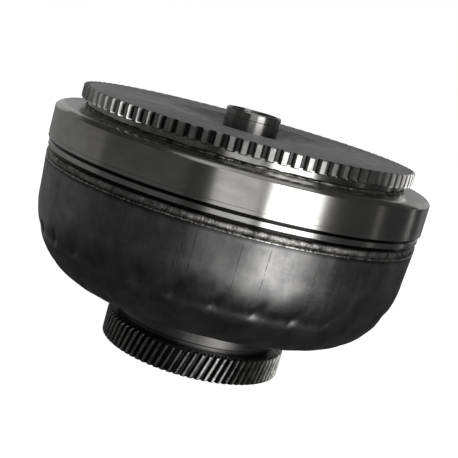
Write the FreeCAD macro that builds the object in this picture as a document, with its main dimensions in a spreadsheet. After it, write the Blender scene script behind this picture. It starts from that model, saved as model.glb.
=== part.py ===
import FreeCAD, Part

import math
import os
import re

import Sketcher
from FreeCAD import Placement, Vector

# Torque converter: a welded three-element converter with a lock-up clutch, a spline disc on its
# front cover and a helical pump drive gear on its impeller hub.
# Z is the axis of rotation and points from the gear to the pilot. The origin is on that axis, in
# the gear's lower face.

# Driving dimensions in millimetres, unless the meaning says otherwise. Every alias is two or more
# words joined by underscores, and that is how an outline's text is recognised as a reference.
SIZES = [
    # the spline disc and the pilot
    ("rim_teeth", 90, "teeth on the drive disc"),
    ("rim_tip_radius", 137.4, "tip radius of the disc's teeth"),
    ("rim_root_radius", 133.55, "root radius of the disc's teeth"),
    ("rim_gap_mouth", 6.0, "width of a tooth gap at the tip"),
    ("rim_gap_floor", 2.0, "width of a tooth gap at the root"),
    ("rim_chamfer", 0.7, "chamfer on the tooth ends"),
    ("rim_low", 184.1, "lower end of the disc's teeth"),
    ("disc_top", 194.5, "top face of the disc"),
    ("dish_radius", 69.5, "rim of the cone dished into the disc"),
    ("dish_depth", 8.0, "depth of that cone at the pilot"),
    ("neck_radius", 130.9, "turned neck under the disc's teeth"),
    ("pilot_radius", 22.8, "outside of the pilot"),
    ("pilot_seat", 24.5, "radius of the pilot's foot in the disc's bore"),
    ("pilot_bore", 19.3, "inside of the pilot"),
    ("pilot_top", 206.5, "top of the pilot"),
    ("pilot_line", 200.3, "height of the fine line turned in the pilot"),
    ("pilot_floor", 6.0, "thickness of the pilot's closed end"),
    # the front cover
    ("cover_seat", 178.0, "cover's top face, under the disc"),
    ("cover_inside", 170.1, "inner face of the cover's middle"),
    ("friction_face", 165.7, "inner face that the clutch lining meets"),
    ("friction_inner", 110.0, "inner radius of that face"),
    ("cover_bore", 147.4, "inside of the cover's skirt"),
    ("shoulder_radius", 148.4, "outer edge of the sloping shoulder"),
    ("shoulder_height", 177.1, "height of that edge"),
    ("shoulder_arc", 8.28, "radius of the rounded corner beyond it"),
    ("band_radius", 155.3, "outside of the turned band"),
    ("band_high", 173.4, "top of the band"),
    ("band_low", 148.5, "bottom of the band"),
    ("band_line", 151.7, "height of the fine line turned in the band"),
    ("groove_radius", 152.0, "floor of the two grooves"),
    ("ring_radius", 153.9, "outside of the ring between the grooves"),
    ("ring_high", 146.2, "top of that ring"),
    ("ring_low", 141.9, "bottom of that ring"),
    ("edge_chamfer", 0.4, "small chamfer on turned edges"),
    # the seam and the bowl
    ("seam_high", 139.5, "top of the seam weld and foot of the cover"),
    ("seam_low", 133.7, "bottom of the seam weld and rim of the bowl"),
    ("seam_radius", 153.9, "outside of the seam weld"),
    ("bowl_rim_radius", 153.7, "outside of the bowl at its rim"),
    ("bowl_spigot_bore", 143.9, "inside of the bowl's spigot in the cover"),
    ("bowl_spigot_top", 150.0, "top of that spigot"),
    ("bowl_wall_radius", 152.2, "outside of the bowl where its wall starts to curve"),
    ("bowl_wall_height", 108.0, "height of that place"),
    ("bowl_side_arc", 75.0, "outer radius of the bowl's side"),
    ("bowl_corner_arc", 42.0, "outer radius of the bowl's corner"),
    ("bowl_floor_arc", 100.0, "outer radius of the bowl's floor, towards the hub"),
    ("bowl_side_turn", 38.2, "angle in degrees that the side turns before the corner"),
    ("bowl_thickness", 5.0, "thickness of the bowl"),
    # the impeller hub and the pump drive gear
    ("hub_radius", 68.0, "outside of the impeller hub"),
    ("hub_foot", 25.5, "lower edge of the hub's round neck"),
    ("hub_undercut", 64.5, "radius of the undercut above the gear"),
    ("hub_spigot", 60.0, "spigot that centres the gear"),
    ("spigot_low", 14.0, "lower end of that spigot"),
    ("bush_seat", 40.0, "bore that holds the bush"),
    ("bush_bore", 38.0, "inside of the bush"),
    ("bush_low", 24.0, "lower end of the bush"),
    ("bush_high", 41.0, "upper end of the bush"),
    ("collar_radius", 50.0, "top of the hub's conical collar"),
    ("collar_foot", 59.0, "height where that cone starts"),
    ("collar_top", 77.7, "upper face of the collar"),
    ("collar_lip", 28.0, "bore of the collar's lip"),
    ("gear_teeth", 80, "teeth on the pump drive gear"),
    ("gear_width", 22.1, "face width of the gear"),
    ("gear_tip", 75.4, "tip radius of the gear"),
    ("gear_root", 71.5, "root radius of the gear"),
    ("gear_helix", 16.5, "helix angle in degrees, right-handed"),
    ("gear_chamfer", 1.3, "chamfer on the gear's tooth ends"),
    ("web_bore", 44.0, "bore of the gear's bolted web"),
    ("web_low", 9.0, "lower face of that web"),
    ("screw_circle", 52.0, "radius of the screw circle"),
    ("screw_count", 8, "cap screws"),
    ("screw_radius", 4.0, "radius of a cap screw's shank"),
    ("screw_head", 6.5, "radius of a cap screw's head"),
    ("screw_top", 32.0, "upper end of the cap screws"),
    # the torus of blades
    ("torus_centre", 102.0, "radius of the torus's centre circle"),
    ("core_arc", 17.0, "outer radius of the core rings' section"),
    ("core_thickness", 1.5, "thickness of the core rings"),
    ("impeller_plane", 97.2, "upper edge of the impeller's blades"),
    ("turbine_plane", 98.8, "lower edge of the turbine's blades"),
    ("turbine_arc", 41.0, "inner radius of the turbine shell's section"),
    ("turbine_thickness", 2.3, "thickness of the turbine shell"),
    ("turbine_land", 118.0, "lower face of the turbine shell's flat land"),
    ("land_bore", 40.0, "bore of that land"),
    ("stator_room", 82.5, "radius of the room that the stator takes"),
    ("blade_thickness", 1.2, "thickness of a blade"),
    ("impeller_blades", 31, "impeller blades"),
    ("turbine_blades", 29, "turbine blades"),
    # the turbine hub
    ("input_teeth", 24, "teeth of the input shaft spline"),
    ("input_minor", 13.8, "minor radius of that spline"),
    ("input_major", 15.5, "major radius of that spline"),
    ("input_top", 150.0, "upper end of that spline"),
    ("sleeve_radius", 34.0, "outside of the turbine hub's sleeve"),
    ("sleeve_bore", 23.0, "bore above the spline"),
    ("sleeve_top", 166.8, "upper face of the turbine hub"),
    ("turbine_foot", 118.3, "lower face of the turbine hub"),
    ("flange_radius", 62.0, "outside of the turbine hub's flange"),
    ("flange_thickness", 5.0, "thickness of that flange"),
    ("rivet_circle", 56.0, "radius of the turbine rivet circle"),
    ("rivet_count", 12, "rivets in each circle"),
    ("rivet_radius", 3.0, "radius of a turbine rivet"),
    ("rivet_head", 4.0, "radius of a turbine rivet's head"),
    # the lock-up clutch and its damper
    ("piston_face", 162.5, "upper face of the piston"),
    ("piston_thickness", 4.0, "thickness of the piston"),
    ("piston_rim", 142.5, "outside of the piston"),
    ("piston_clearance", 0.1, "radial clearance of the piston on the sleeve"),
    ("lining_inner", 114.0, "inner radius of the lining"),
    ("lining_outer", 140.0, "outer radius of the lining"),
    ("lining_thickness", 1.7, "thickness of the lining"),
    ("seal_floor", 31.5, "floor of the seal ring's groove"),
    ("seal_low", 156.5, "lower side of that groove"),
    ("seal_high", 159.5, "upper side of that groove"),
    ("spring_circle", 124.0, "radius where the damper springs lie"),
    ("spring_count", 6, "damper springs"),
    ("spring_length", 44.0, "length of a damper spring"),
    ("spring_height", 151.3, "height of the damper springs' axes"),
    ("coil_radius", 5.2, "mean radius of a damper spring's coil"),
    ("wire_radius", 1.3, "radius of its wire"),
    ("plate_thickness", 2.5, "thickness of the driven plate"),
    ("plate_level", 142.9, "lower face of the driven plate's outer part"),
    ("retainer_low", 156.2, "lower face of the damper retainer"),
    ("retainer_bore", 104.0, "bore of the damper retainer"),
    ("retainer_circle", 108.0, "radius of its rivet circle"),
    # the stator and its one-way clutch
    ("stator_teeth", 28, "teeth of the stator shaft spline"),
    ("stator_minor", 19.0, "minor radius of that spline"),
    ("stator_major", 20.8, "major radius of that spline"),
    ("race_low", 84.6, "lower end of both races"),
    ("race_high", 111.4, "upper end of both races"),
    ("inner_race", 30.0, "outside of the inner race"),
    ("outer_race", 46.0, "outside of the outer race"),
    ("finger_radius", 31.5, "bore of the outer race between its pockets"),
    ("pocket_radius", 38.3, "flat floor of the roller pockets"),
    ("roller_count", 12, "rollers"),
    ("roller_radius", 3.9, "radius of a roller"),
    ("roller_circle", 34.1, "radius where the rollers lie"),
    ("roller_low", 88.0, "lower end of the rollers"),
    ("roller_high", 108.0, "upper end of the rollers"),
    ("side_plate_bore", 22.0, "bore of the side plates"),
    ("side_plate_thickness", 3.4, "thickness of the side plates"),
    ("side_plate_gap", 0.2, "clearance between a race and a side plate"),
    ("snap_thickness", 1.4, "width of the snap ring grooves"),
    ("snap_depth", 1.4, "depth of the snap ring grooves"),
    ("wheel_hub", 52.0, "outside of the stator wheel's hub"),
    ("wheel_low", 79.2, "lower end of the stator wheel's hub"),
    ("wheel_high", 116.6, "upper end of the stator wheel's hub"),
    ("shroud_radius", 77.0, "inside of the stator wheel's shroud"),
    ("shroud_thickness", 3.0, "thickness of that shroud"),
    ("shroud_low", 86.0, "lower edge of that shroud"),
    ("shroud_high", 110.0, "upper edge of that shroud"),
    ("stator_blades", 13, "stator blades"),
    # the needle thrust bearings
    ("needle_radius", 1.5, "radius of a needle"),
    ("needle_gap", 0.15, "clearance between a needle and a face"),
    ("needle_count", 24, "needles in each bearing"),
]

doc = FreeCAD.newDocument("torque_converter")
sheet = doc.addObject("Spreadsheet::Sheet", "Dim")
for row, (alias, value, meaning) in enumerate(SIZES, start=1):
    sheet.set("A%d" % row, meaning)
    sheet.set("B%d" % row, str(value))
    sheet.setAlias("B%d" % row, alias)
doc.recompute()

SUBPARTS = []


def bound(text):
    """An outline's text as an expression that reads the sheet."""
    return re.sub(r"\b[a-z]+(?:_[a-z]+)+\b", r"Dim.\g<0>", str(text))


def amount(text):
    """The present value of an outline's text."""
    return float(sheet.evalExpression(bound(text)))


def keep(subpart):
    """Enter an object in the list of sub-parts that are written out."""
    subpart.Label = subpart.Name
    SUBPARTS.append(subpart)
    return subpart


def origin_feature(body, role):
    """One of a body's own origin planes or axes."""
    return [item for item in body.Origin.OriginFeatures if item.Role == role][0]


def arc_between(start, end, radius, side):
    """Centre of the arc from start to end; side is 1 when it lies left of the way, -1 right."""
    half = (end - start) * 0.5
    across = Vector(-half.y, half.x, 0)
    across.normalize()
    reach = math.sqrt(max(radius * radius - half.Length ** 2, 0))
    return start + half + across * reach * side


def sketch_on(body, role, level="0"):
    """An empty sketch on one of the body's origin planes, lifted along the plane's normal."""
    sketch = body.newObject("Sketcher::SketchObject", body.Name + "_sketch")
    sketch.AttachmentSupport = [(origin_feature(body, role), "")]
    sketch.MapMode = "FlatFace"
    sketch.setExpression("AttachmentOffset.Base.z", bound(level))
    return sketch


def draw(sketch, outline):
    """Draw a closed outline, each corner bound to the sheet.

    A corner is (x, y), or (x, y, radius, side) when the way to the next corner is an arc. A lone
    (x, y, radius) is a full circle.
    """
    if len(outline) == 1:
        return draw_circle(sketch, *outline[0])
    corners = [Vector(amount(corner[0]), amount(corner[1]), 0) for corner in outline]
    count = len(corners)
    first = sketch.GeometryCount
    starts, ends = [], []
    for index, corner in enumerate(outline):
        start, end = corners[index], corners[(index + 1) % count]
        if len(corner) == 2:
            sketch.addGeometry(Part.LineSegment(start, end), False)
            starts.append(1)
            ends.append(2)
            continue
        side = corner[3]
        centre = arc_between(start, end, amount(corner[2]), side)
        lead, trail = (start, end) if side > 0 else (end, start)
        from_angle = math.atan2(lead.y - centre.y, lead.x - centre.x)
        to_angle = math.atan2(trail.y - centre.y, trail.x - centre.x)
        circle = Part.Circle(centre, Vector(0, 0, 1), amount(corner[2]))
        sketch.addGeometry(Part.ArcOfCircle(circle, from_angle, to_angle), False)
        starts.append(1 if side > 0 else 2)
        ends.append(2 if side > 0 else 1)
    for index, corner in enumerate(outline):
        here = first + index
        there = first + (index + 1) % count
        following = (index + 1) % count
        sketch.addConstraint(Sketcher.Constraint("Coincident", here, ends[index], there, starts[following]))
        for kind, text, number in (("DistanceX", corner[0], corners[index].x),
                                   ("DistanceY", corner[1], corners[index].y)):
            place = sketch.addConstraint(Sketcher.Constraint(kind, -1, 1, here, starts[index], number))
            sketch.setExpression("Constraints[%d]" % place, bound(text))
        if len(corner) > 2:
            radius = amount(corner[2])
            place = sketch.addConstraint(Sketcher.Constraint("Radius", here, radius))
            sketch.setExpression("Constraints[%d]" % place, bound(corner[2]))
    return sketch


def draw_circle(sketch, across, up, radius):
    """Draw a circle whose centre and radius are bound to the sheet."""
    centre = Vector(amount(across), amount(up), 0)
    circle = sketch.addGeometry(Part.Circle(centre, Vector(0, 0, 1), amount(radius)), False)
    for kind, text, number in (("DistanceX", across, centre.x), ("DistanceY", up, centre.y)):
        place = sketch.addConstraint(Sketcher.Constraint(kind, -1, 1, circle, 3, number))
        sketch.setExpression("Constraints[%d]" % place, bound(text))
    place = sketch.addConstraint(Sketcher.Constraint("Radius", circle, amount(radius)))
    sketch.setExpression("Constraints[%d]" % place, bound(radius))
    return sketch


def new_body(name):
    """An empty body that may hold several separate solids."""
    body = doc.addObject("PartDesign::Body", name)
    body.AllowCompound = True
    return keep(body)


def revolve(body, outline, angle=360.0, axis_level=None):
    """Turn an outline of (radius, height) corners.

    The axis is Z, or, given a level, the radial line at that height.
    """
    sketch = draw(sketch_on(body, "XZ_Plane"), outline)
    axis = "V_Axis"
    if axis_level is not None:
        height = amount(axis_level)
        line = Part.LineSegment(Vector(0, height, 0), Vector(1, height, 0))
        sketch.addGeometry(line, True)
        sketch.addConstraint(Sketcher.Constraint("Block", sketch.GeometryCount - 1))
        axis = "Axis0"
    turned = body.newObject("PartDesign::Revolution", body.Name + "_turned")
    turned.Profile = sketch
    turned.ReferenceAxis = (sketch, [axis])
    turned.Angle = angle
    return turned


def spin_about(body, outline, centre):
    """Turn an outline about the upright line at a radius, as for a rivet or a screw."""
    sketch = draw(sketch_on(body, "XZ_Plane"), outline)
    away = amount(centre)
    sketch.addGeometry(Part.LineSegment(Vector(away, 0, 0), Vector(away, 1, 0)), True)
    sketch.addConstraint(Sketcher.Constraint("Block", sketch.GeometryCount - 1))
    turned = body.newObject("PartDesign::Revolution", body.Name + "_turned")
    turned.Profile = sketch
    turned.ReferenceAxis = (sketch, ["Axis0"])
    turned.Angle = 360.0
    return turned


def pad(body, outline, low, height, role="XY_Plane"):
    """Raise an outline from a level by a height."""
    sketch = draw(sketch_on(body, role, low), outline)
    raised = body.newObject("PartDesign::Pad", body.Name + "_pad")
    raised.Profile = sketch
    raised.setExpression("Length", bound(height))
    return raised


def pocket(body, outline, low, height):
    """Cut an outline out of the body, from a level upwards by a height."""
    sketch = draw(sketch_on(body, "XY_Plane", low), outline)
    cut = body.newObject("PartDesign::Pocket", body.Name + "_pocket")
    cut.Profile = sketch
    cut.Reversed = True
    cut.setExpression("Length", bound(height))
    return cut


def around(body, feature, count):
    """Repeat a feature evenly about the axis."""
    doc.recompute()
    pattern = body.newObject("PartDesign::PolarPattern", body.Name + "_pattern")
    pattern.Originals = [feature]
    pattern.Axis = (origin_feature(body, "Z_Axis"), [""])
    pattern.Angle = 360.0
    pattern.setExpression("Occurrences", bound(count))
    body.Tip = pattern
    return pattern


def turned_part(name, outline):
    """A sub-part that is one turned shape."""
    body = new_body(name)
    revolve(body, outline)
    return body


def ring(inner, outer, low, high):
    """Outline of a plain ring."""
    return [(inner, low), (outer, low), (outer, high), (inner, high)]


def block(near, far, half_width):
    """Outline of a rectangle that lies along X, symmetric about it."""
    return [(near, "-(%s)" % half_width), (far, "-(%s)" % half_width), (far, half_width), (near, half_width)]


def spline_gap(minor, major, teeth):
    """Outline of one gap of an internal spline, a little wider at its mouth."""
    half_floor = "0.2 * 2 * 3.14159 * %s / %s" % (major, teeth)
    half_mouth = "0.3 * 2 * 3.14159 * %s / %s" % (minor, teeth)
    return [("%s - 1" % minor, "-(%s)" % half_mouth), (major, "-(%s)" % half_floor),
            (major, half_floor), ("%s - 1" % minor, half_mouth)]


# Places that several pieces share, as text for the outlines.
SIDE_R = "bowl_wall_radius - bowl_side_arc"
TURN_COS = "cos(bowl_side_turn)"
TURN_SIN = "sin(bowl_side_turn)"
CORNER_R = "%s + (bowl_side_arc - bowl_corner_arc) * %s" % (SIDE_R, TURN_COS)
CORNER_Z = "bowl_wall_height - (bowl_side_arc - bowl_corner_arc) * %s" % TURN_SIN
FLOOR_Z = "%s - bowl_corner_arc + bowl_floor_arc" % CORNER_Z
BOWL_AT_HUB = "%s - sqrt(bowl_floor_arc ^ 2 - (%s - hub_radius) ^ 2)" % (FLOOR_Z, CORNER_R)
INNER_AT_HUB = ("%s - sqrt((bowl_floor_arc - bowl_thickness) ^ 2 - (%s - hub_radius) ^ 2)"
                % (FLOOR_Z, CORNER_R))
LAND_TOP = "turbine_land + turbine_thickness"
FLANGE_TOP = "turbine_land + turbine_thickness + flange_thickness"
LAND_INNER_R = "torus_centre - sqrt(turbine_arc ^ 2 - (turbine_land - turbine_plane) ^ 2)"
LAND_OUTER_R = ("torus_centre - sqrt((turbine_arc + turbine_thickness) ^ 2"
                " - (turbine_land + turbine_thickness - turbine_plane) ^ 2)")
LOWER_PLATE_TOP = "race_low - side_plate_gap"
LOWER_PLATE_LOW = "race_low - side_plate_gap - side_plate_thickness"
UPPER_PLATE_LOW = "race_high + side_plate_gap"
UPPER_PLATE_TOP = "race_high + side_plate_gap + side_plate_thickness"


# ---- housing ----

def drive_disc():
    """Thick disc with straight spline teeth, a neck below them and a cone dished into its top."""
    body = turned_part("toothed_drive_disc", [
        ("pilot_seat", "cover_seat"),
        ("neck_radius", "cover_seat"),
        ("neck_radius", "rim_low"),
        ("rim_tip_radius - rim_chamfer", "rim_low"),
        ("rim_tip_radius", "rim_low + rim_chamfer"),
        ("rim_tip_radius", "disc_top - rim_chamfer"),
        ("rim_tip_radius - rim_chamfer", "disc_top"),
        ("dish_radius", "disc_top"),
        ("pilot_seat + 2", "disc_top - dish_depth"),
        ("pilot_seat", "disc_top - dish_depth")])
    slope = "(rim_gap_mouth - rim_gap_floor) / 2 / (rim_tip_radius - rim_root_radius)"
    half_mouth = "rim_gap_mouth / 2 + %s" % slope
    gap = pocket(body, [
        ("rim_root_radius", "-rim_gap_floor / 2"),
        ("rim_tip_radius + 1", "-(%s)" % half_mouth),
        ("rim_tip_radius + 1", half_mouth),
        ("rim_root_radius", "rim_gap_floor / 2")], "rim_low - 1", "disc_top - rim_low + 2")
    around(body, gap, "rim_teeth")


def housing_rings():
    """The turned pieces of the housing."""
    turned_part("disc_weld_ring", [
        ("neck_radius", "cover_seat"),
        ("neck_radius + 1.9", "cover_seat"),
        ("neck_radius", "cover_seat + 1.5")])
    turned_part("crank_pilot", [
        ("0", "cover_seat"),
        ("pilot_seat", "cover_seat"),
        ("pilot_seat", "disc_top - dish_depth"),
        ("pilot_radius", "disc_top - dish_depth"),
        ("pilot_radius", "pilot_line - 0.25"),
        ("pilot_radius - 0.35", "pilot_line"),
        ("pilot_radius", "pilot_line + 0.25"),
        ("pilot_radius", "pilot_top - 1.1"),
        ("pilot_radius - 1.1", "pilot_top"),
        ("pilot_bore + 0.5", "pilot_top"),
        ("pilot_bore", "pilot_top - 0.5"),
        ("pilot_bore", "cover_seat + pilot_floor"),
        ("0", "cover_seat + pilot_floor")])
    turned_part("front_cover", [
        ("0", "cover_inside"),
        ("friction_inner - 3", "cover_inside"),
        ("friction_inner", "friction_face"),
        ("cover_bore - 3", "friction_face", "3", -1),
        ("cover_bore", "friction_face - 3"),
        ("cover_bore", "seam_high"),
        ("groove_radius", "seam_high"),
        ("groove_radius", "ring_low"),
        ("ring_radius - edge_chamfer", "ring_low"),
        ("ring_radius", "ring_low + edge_chamfer"),
        ("ring_radius", "ring_high - edge_chamfer"),
        ("ring_radius - edge_chamfer", "ring_high"),
        ("groove_radius", "ring_high"),
        ("groove_radius", "band_low"),
        ("band_radius - edge_chamfer", "band_low"),
        ("band_radius", "band_low + edge_chamfer"),
        ("band_radius", "band_line - 0.2"),
        ("band_radius - 0.25", "band_line"),
        ("band_radius", "band_line + 0.2"),
        ("band_radius", "band_high", "shoulder_arc", 1),
        ("shoulder_radius", "shoulder_height"),
        ("neck_radius + 2", "cover_seat"),
        ("0", "cover_seat")])
    turned_part("seam_weld_bead", [
        ("cover_bore", "seam_low"),
        ("seam_radius - 1", "seam_low"),
        ("seam_radius - 0.9", "seam_low + 0.9", "0.9", 1),
        ("seam_radius", "seam_low + 1.8"),
        ("seam_radius", "seam_high - 0.9", "0.9", 1),
        ("seam_radius - 0.9", "seam_high"),
        ("cover_bore", "seam_high")])
    turned_part("impeller_shell", [
        ("bowl_spigot_bore", "bowl_spigot_top"),
        ("bowl_spigot_bore", "seam_low - 2.7"),
        ("bowl_wall_radius - bowl_thickness", "seam_low - 6.7"),
        ("bowl_wall_radius - bowl_thickness", "bowl_wall_height", "bowl_side_arc - bowl_thickness", -1),
        ("%s + (bowl_side_arc - bowl_thickness) * %s" % (SIDE_R, TURN_COS),
         "bowl_wall_height - (bowl_side_arc - bowl_thickness) * %s" % TURN_SIN,
         "bowl_corner_arc - bowl_thickness", -1),
        (CORNER_R, "%s - bowl_corner_arc + bowl_thickness" % CORNER_Z,
         "bowl_floor_arc - bowl_thickness", -1),
        ("hub_radius", INNER_AT_HUB),
        ("hub_radius", BOWL_AT_HUB, "bowl_floor_arc", 1),
        (CORNER_R, "%s - bowl_corner_arc" % CORNER_Z, "bowl_corner_arc", 1),
        ("%s + bowl_side_arc * %s" % (SIDE_R, TURN_COS),
         "bowl_wall_height - bowl_side_arc * %s" % TURN_SIN, "bowl_side_arc", 1),
        ("bowl_wall_radius", "bowl_wall_height"),
        ("bowl_rim_radius", "seam_low - 0.6"),
        ("bowl_rim_radius - 0.6", "seam_low"),
        ("cover_bore", "seam_low"),
        ("cover_bore", "bowl_spigot_top - 1"),
        ("cover_bore - 1", "bowl_spigot_top")])
    turned_part("hub_weld_ring", [
        ("hub_radius", "%s - 2.6" % BOWL_AT_HUB),
        ("hub_radius + 2.4", "%s - 1.1" % BOWL_AT_HUB),
        ("hub_radius", "%s - 0.1" % BOWL_AT_HUB)])
    turned_part("hub_bush", ring("bush_bore", "bush_seat", "bush_low", "bush_high"))
    inside = "core_arc - core_thickness"
    turned_part("impeller_core_ring", [
        ("torus_centre - core_arc", "impeller_plane", "core_arc", 1),
        ("torus_centre", "impeller_plane - core_arc", "core_arc", 1),
        ("torus_centre + core_arc", "impeller_plane"),
        ("torus_centre + core_arc - core_thickness", "impeller_plane", inside, -1),
        ("torus_centre", "impeller_plane - core_arc + core_thickness", inside, -1),
        ("torus_centre - core_arc + core_thickness", "impeller_plane")])


def impeller_hub():
    """Hub welded into the bowl: gear spigot, neck, hollow collar and threaded screw holes."""
    body = turned_part("impeller_hub", [
        ("bush_seat", "spigot_low"),
        ("hub_spigot", "spigot_low"),
        ("hub_spigot", "gear_width"),
        ("hub_undercut", "gear_width"),
        ("hub_undercut", "hub_foot"),
        ("hub_radius - 1", "hub_foot"),
        ("hub_radius", "hub_foot + 1"),
        ("hub_radius", "collar_foot"),
        ("collar_radius", "collar_top"),
        ("collar_lip", "collar_top"),
        ("collar_lip", "collar_top - 5.7"),
        ("hub_radius - 22", "collar_top - 5.7"),
        ("hub_radius - 10", "collar_foot + 3"),
        ("hub_radius - 10", "hub_foot + 20.5"),
        ("bush_seat", "hub_foot + 16.5")])
    hole = pocket(body, [("screw_circle", "0", "screw_radius")], "spigot_low - 1",
                  "screw_top - spigot_low + 1")
    around(body, hole, "screw_count")


def gear_screws():
    """Cap screws that hold the gear on the hub, heads down inside the gear."""
    body = new_body("gear_cap_screws")
    screw = spin_about(body, [
        ("screw_circle", "web_low - 8"),
        ("screw_circle + screw_head - 0.6", "web_low - 8"),
        ("screw_circle + screw_head", "web_low - 7.4"),
        ("screw_circle + screw_head", "web_low"),
        ("screw_circle + screw_radius", "web_low"),
        ("screw_circle + screw_radius", "screw_top - 1"),
        ("screw_circle + screw_radius - 1", "screw_top"),
        ("screw_circle", "screw_top")], "screw_circle")
    around(body, screw, "screw_count")


def polygon(points):
    """A closed wire through points."""
    return Part.Wire(Part.makePolygon(list(points) + [points[0]]).Edges)


def pump_gear():
    """Helical ring gear: its tooth outline carried up the helix, then turned to its blank."""
    teeth = int(amount("gear_teeth"))
    width, tip, root = amount("gear_width"), amount("gear_tip"), amount("gear_root")
    pitch_angle = 2 * math.pi / teeth
    middle = (tip + root) / 2
    # tooth corners: angle as a share of the pitch, and radius; the flank bulges as an involute
    corners = [(-0.39, root), (-0.25, middle), (-0.13, tip), (0.13, tip), (0.25, middle), (0.39, root)]
    outline = [(pitch_angle * (tooth + share), radius) for tooth in range(teeth) for share, radius in corners]
    twist = width * math.tan(math.radians(amount("gear_helix"))) / middle
    levels = 3
    wires = []
    for level in range(levels):
        part = level / (levels - 1)
        wires.append(polygon([Vector(radius * math.cos(angle + twist * part),
                                     radius * math.sin(angle + twist * part),
                                     width * part) for angle, radius in outline]))
    toothed = Part.makeLoft(wires, True, True)
    chamfer = amount("gear_chamfer")
    bore, web, web_low = amount("hub_spigot"), amount("web_bore"), amount("web_low")
    web_top = amount("spigot_low")
    section = polygon([Vector(web, 0, web_low), Vector(bore, 0, web_low), Vector(bore, 0, 0),
                       Vector(tip - 1.6 * chamfer, 0, 0), Vector(tip + 0.01, 0, chamfer),
                       Vector(tip + 0.01, 0, width - chamfer), Vector(tip - 1.6 * chamfer, 0, width),
                       Vector(bore, 0, width), Vector(bore, 0, web_top), Vector(web, 0, web_top)])
    blank = Part.Face(section).revolve(Vector(0, 0, 0), Vector(0, 0, 1), 360)
    gear = toothed.common(blank)
    for index in range(int(amount("screw_count"))):
        angle = 2 * math.pi * index / amount("screw_count")
        centre = Vector(math.cos(angle), math.sin(angle), 0) * amount("screw_circle")
        gear = gear.cut(Part.makeCylinder(amount("screw_radius") + 0.4, width, centre))
    feature = doc.addObject("Part::Feature", "pump_drive_gear")
    feature.Shape = gear.Solids[0]
    feature.Placement = Placement()
    keep(feature)


# ---- blades ----

def section_face(corners, core_level):
    """Face in the XZ plane between an outline of points and arcs and the core ring's circle."""
    edges = []
    for index, corner in enumerate(corners):
        start = Vector(corner[0], corner[1], 0)
        following = corners[(index + 1) % len(corners)]
        end = Vector(following[0], following[1], 0)
        if len(corner) == 2:
            edges.append(Part.LineSegment(lift(start), lift(end)).toShape())
            continue
        centre = arc_between(start, end, corner[2], corner[3])
        half_way = (start + end) * 0.5 - centre
        half_way.normalize()
        middle = centre + half_way * corner[2]
        edges.append(Part.Arc(lift(start), lift(middle), lift(end)).toShape())
    core = Part.makeCircle(amount("core_arc"), Vector(amount("torus_centre"), 0, core_level), Vector(0, 1, 0))
    whole = Part.Face(Part.Wire(edges))
    return whole.cut(Part.Face(Part.Wire(core)))


def lift(point):
    """A section point, given as radius and height, in the XZ plane."""
    return Vector(point.x, 0, point.y)


def blade_set(name, count, channel, lean, reach):
    """Curved blades cut to the channel. Each lies on an arc from reach[0] to reach[1]."""
    inner, outer = reach
    thickness = amount("blade_thickness")
    start, end = Vector(inner, 0, 0), Vector(outer, lean, 0)
    middle = Vector((inner + outer) / 2, lean * 0.3, 0)
    shift = Vector(0, thickness, 0)
    edges = [Part.Arc(start, middle, end).toShape(),
             Part.LineSegment(end, end + shift).toShape(),
             Part.Arc(end + shift, middle + shift, start + shift).toShape(),
             Part.LineSegment(start + shift, start).toShape()]
    plate = Part.Face(Part.Wire(edges)).extrude(Vector(0, 0, amount("cover_inside")))
    blade = plate.common(channel)
    step = 360 / count
    blades = []
    for index in range(count):
        for solid in blade.Solids:
            turned = solid.copy()
            turned.rotate(Vector(0, 0, 0), Vector(0, 0, 1), index * step)
            blades.append(turned)
    feature = doc.addObject("Part::Feature", name)
    feature.Shape = Part.makeCompound(blades)
    feature.Placement = Placement()
    keep(feature)


def impeller_blades():
    """Blades between the bowl's inner face, the core ring and the hub's collar."""
    plane, room = amount("impeller_plane"), amount("stator_room")
    side = amount("bowl_side_arc - bowl_thickness")
    side_centre = amount(SIDE_R)
    rise = plane - amount("bowl_wall_height")
    collar_slope = amount("(collar_top - collar_foot) / (hub_radius - collar_radius)")
    inlet = amount("collar_radius + 6")
    corners = [
        (side_centre + math.sqrt(side * side - rise * rise), plane, side, -1),
        (amount("%s + (bowl_side_arc - bowl_thickness) * %s" % (SIDE_R, TURN_COS)),
         amount("bowl_wall_height - (bowl_side_arc - bowl_thickness) * %s" % TURN_SIN),
         amount("bowl_corner_arc - bowl_thickness"), -1),
        (amount(CORNER_R), amount("%s - bowl_corner_arc + bowl_thickness" % CORNER_Z),
         amount("bowl_floor_arc - bowl_thickness"), -1),
        (amount("hub_radius"), amount(INNER_AT_HUB)),
        (amount("hub_radius"), amount("collar_foot")),
        (inlet, amount("collar_foot") + (amount("hub_radius") - inlet) * collar_slope),
        (room, amount("wheel_low - 2")),
        (room, plane)]
    channel = section_face(corners, plane).revolve(Vector(0, 0, 0), Vector(0, 0, 1), 360)
    blade_set("impeller_blades", int(amount("impeller_blades")), channel, -18, (48, 152))


def turbine_blades():
    """Blades between the turbine shell and its core ring, more strongly curved."""
    plane, room = amount("turbine_plane"), amount("stator_room")
    land = amount("turbine_land")
    corners = [
        (amount("torus_centre + turbine_arc"), plane, amount("turbine_arc"), 1),
        (amount("torus_centre"), amount("turbine_plane + turbine_arc"), amount("turbine_arc"), 1),
        (amount(LAND_INNER_R), land),
        (room, land - 6),
        (room, plane)]
    channel = section_face(corners, plane).revolve(Vector(0, 0, 0), Vector(0, 0, 1), 360)
    blade_set("turbine_blades", int(amount("turbine_blades")), channel, 34, (60, 150))


# ---- turbine ----

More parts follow.
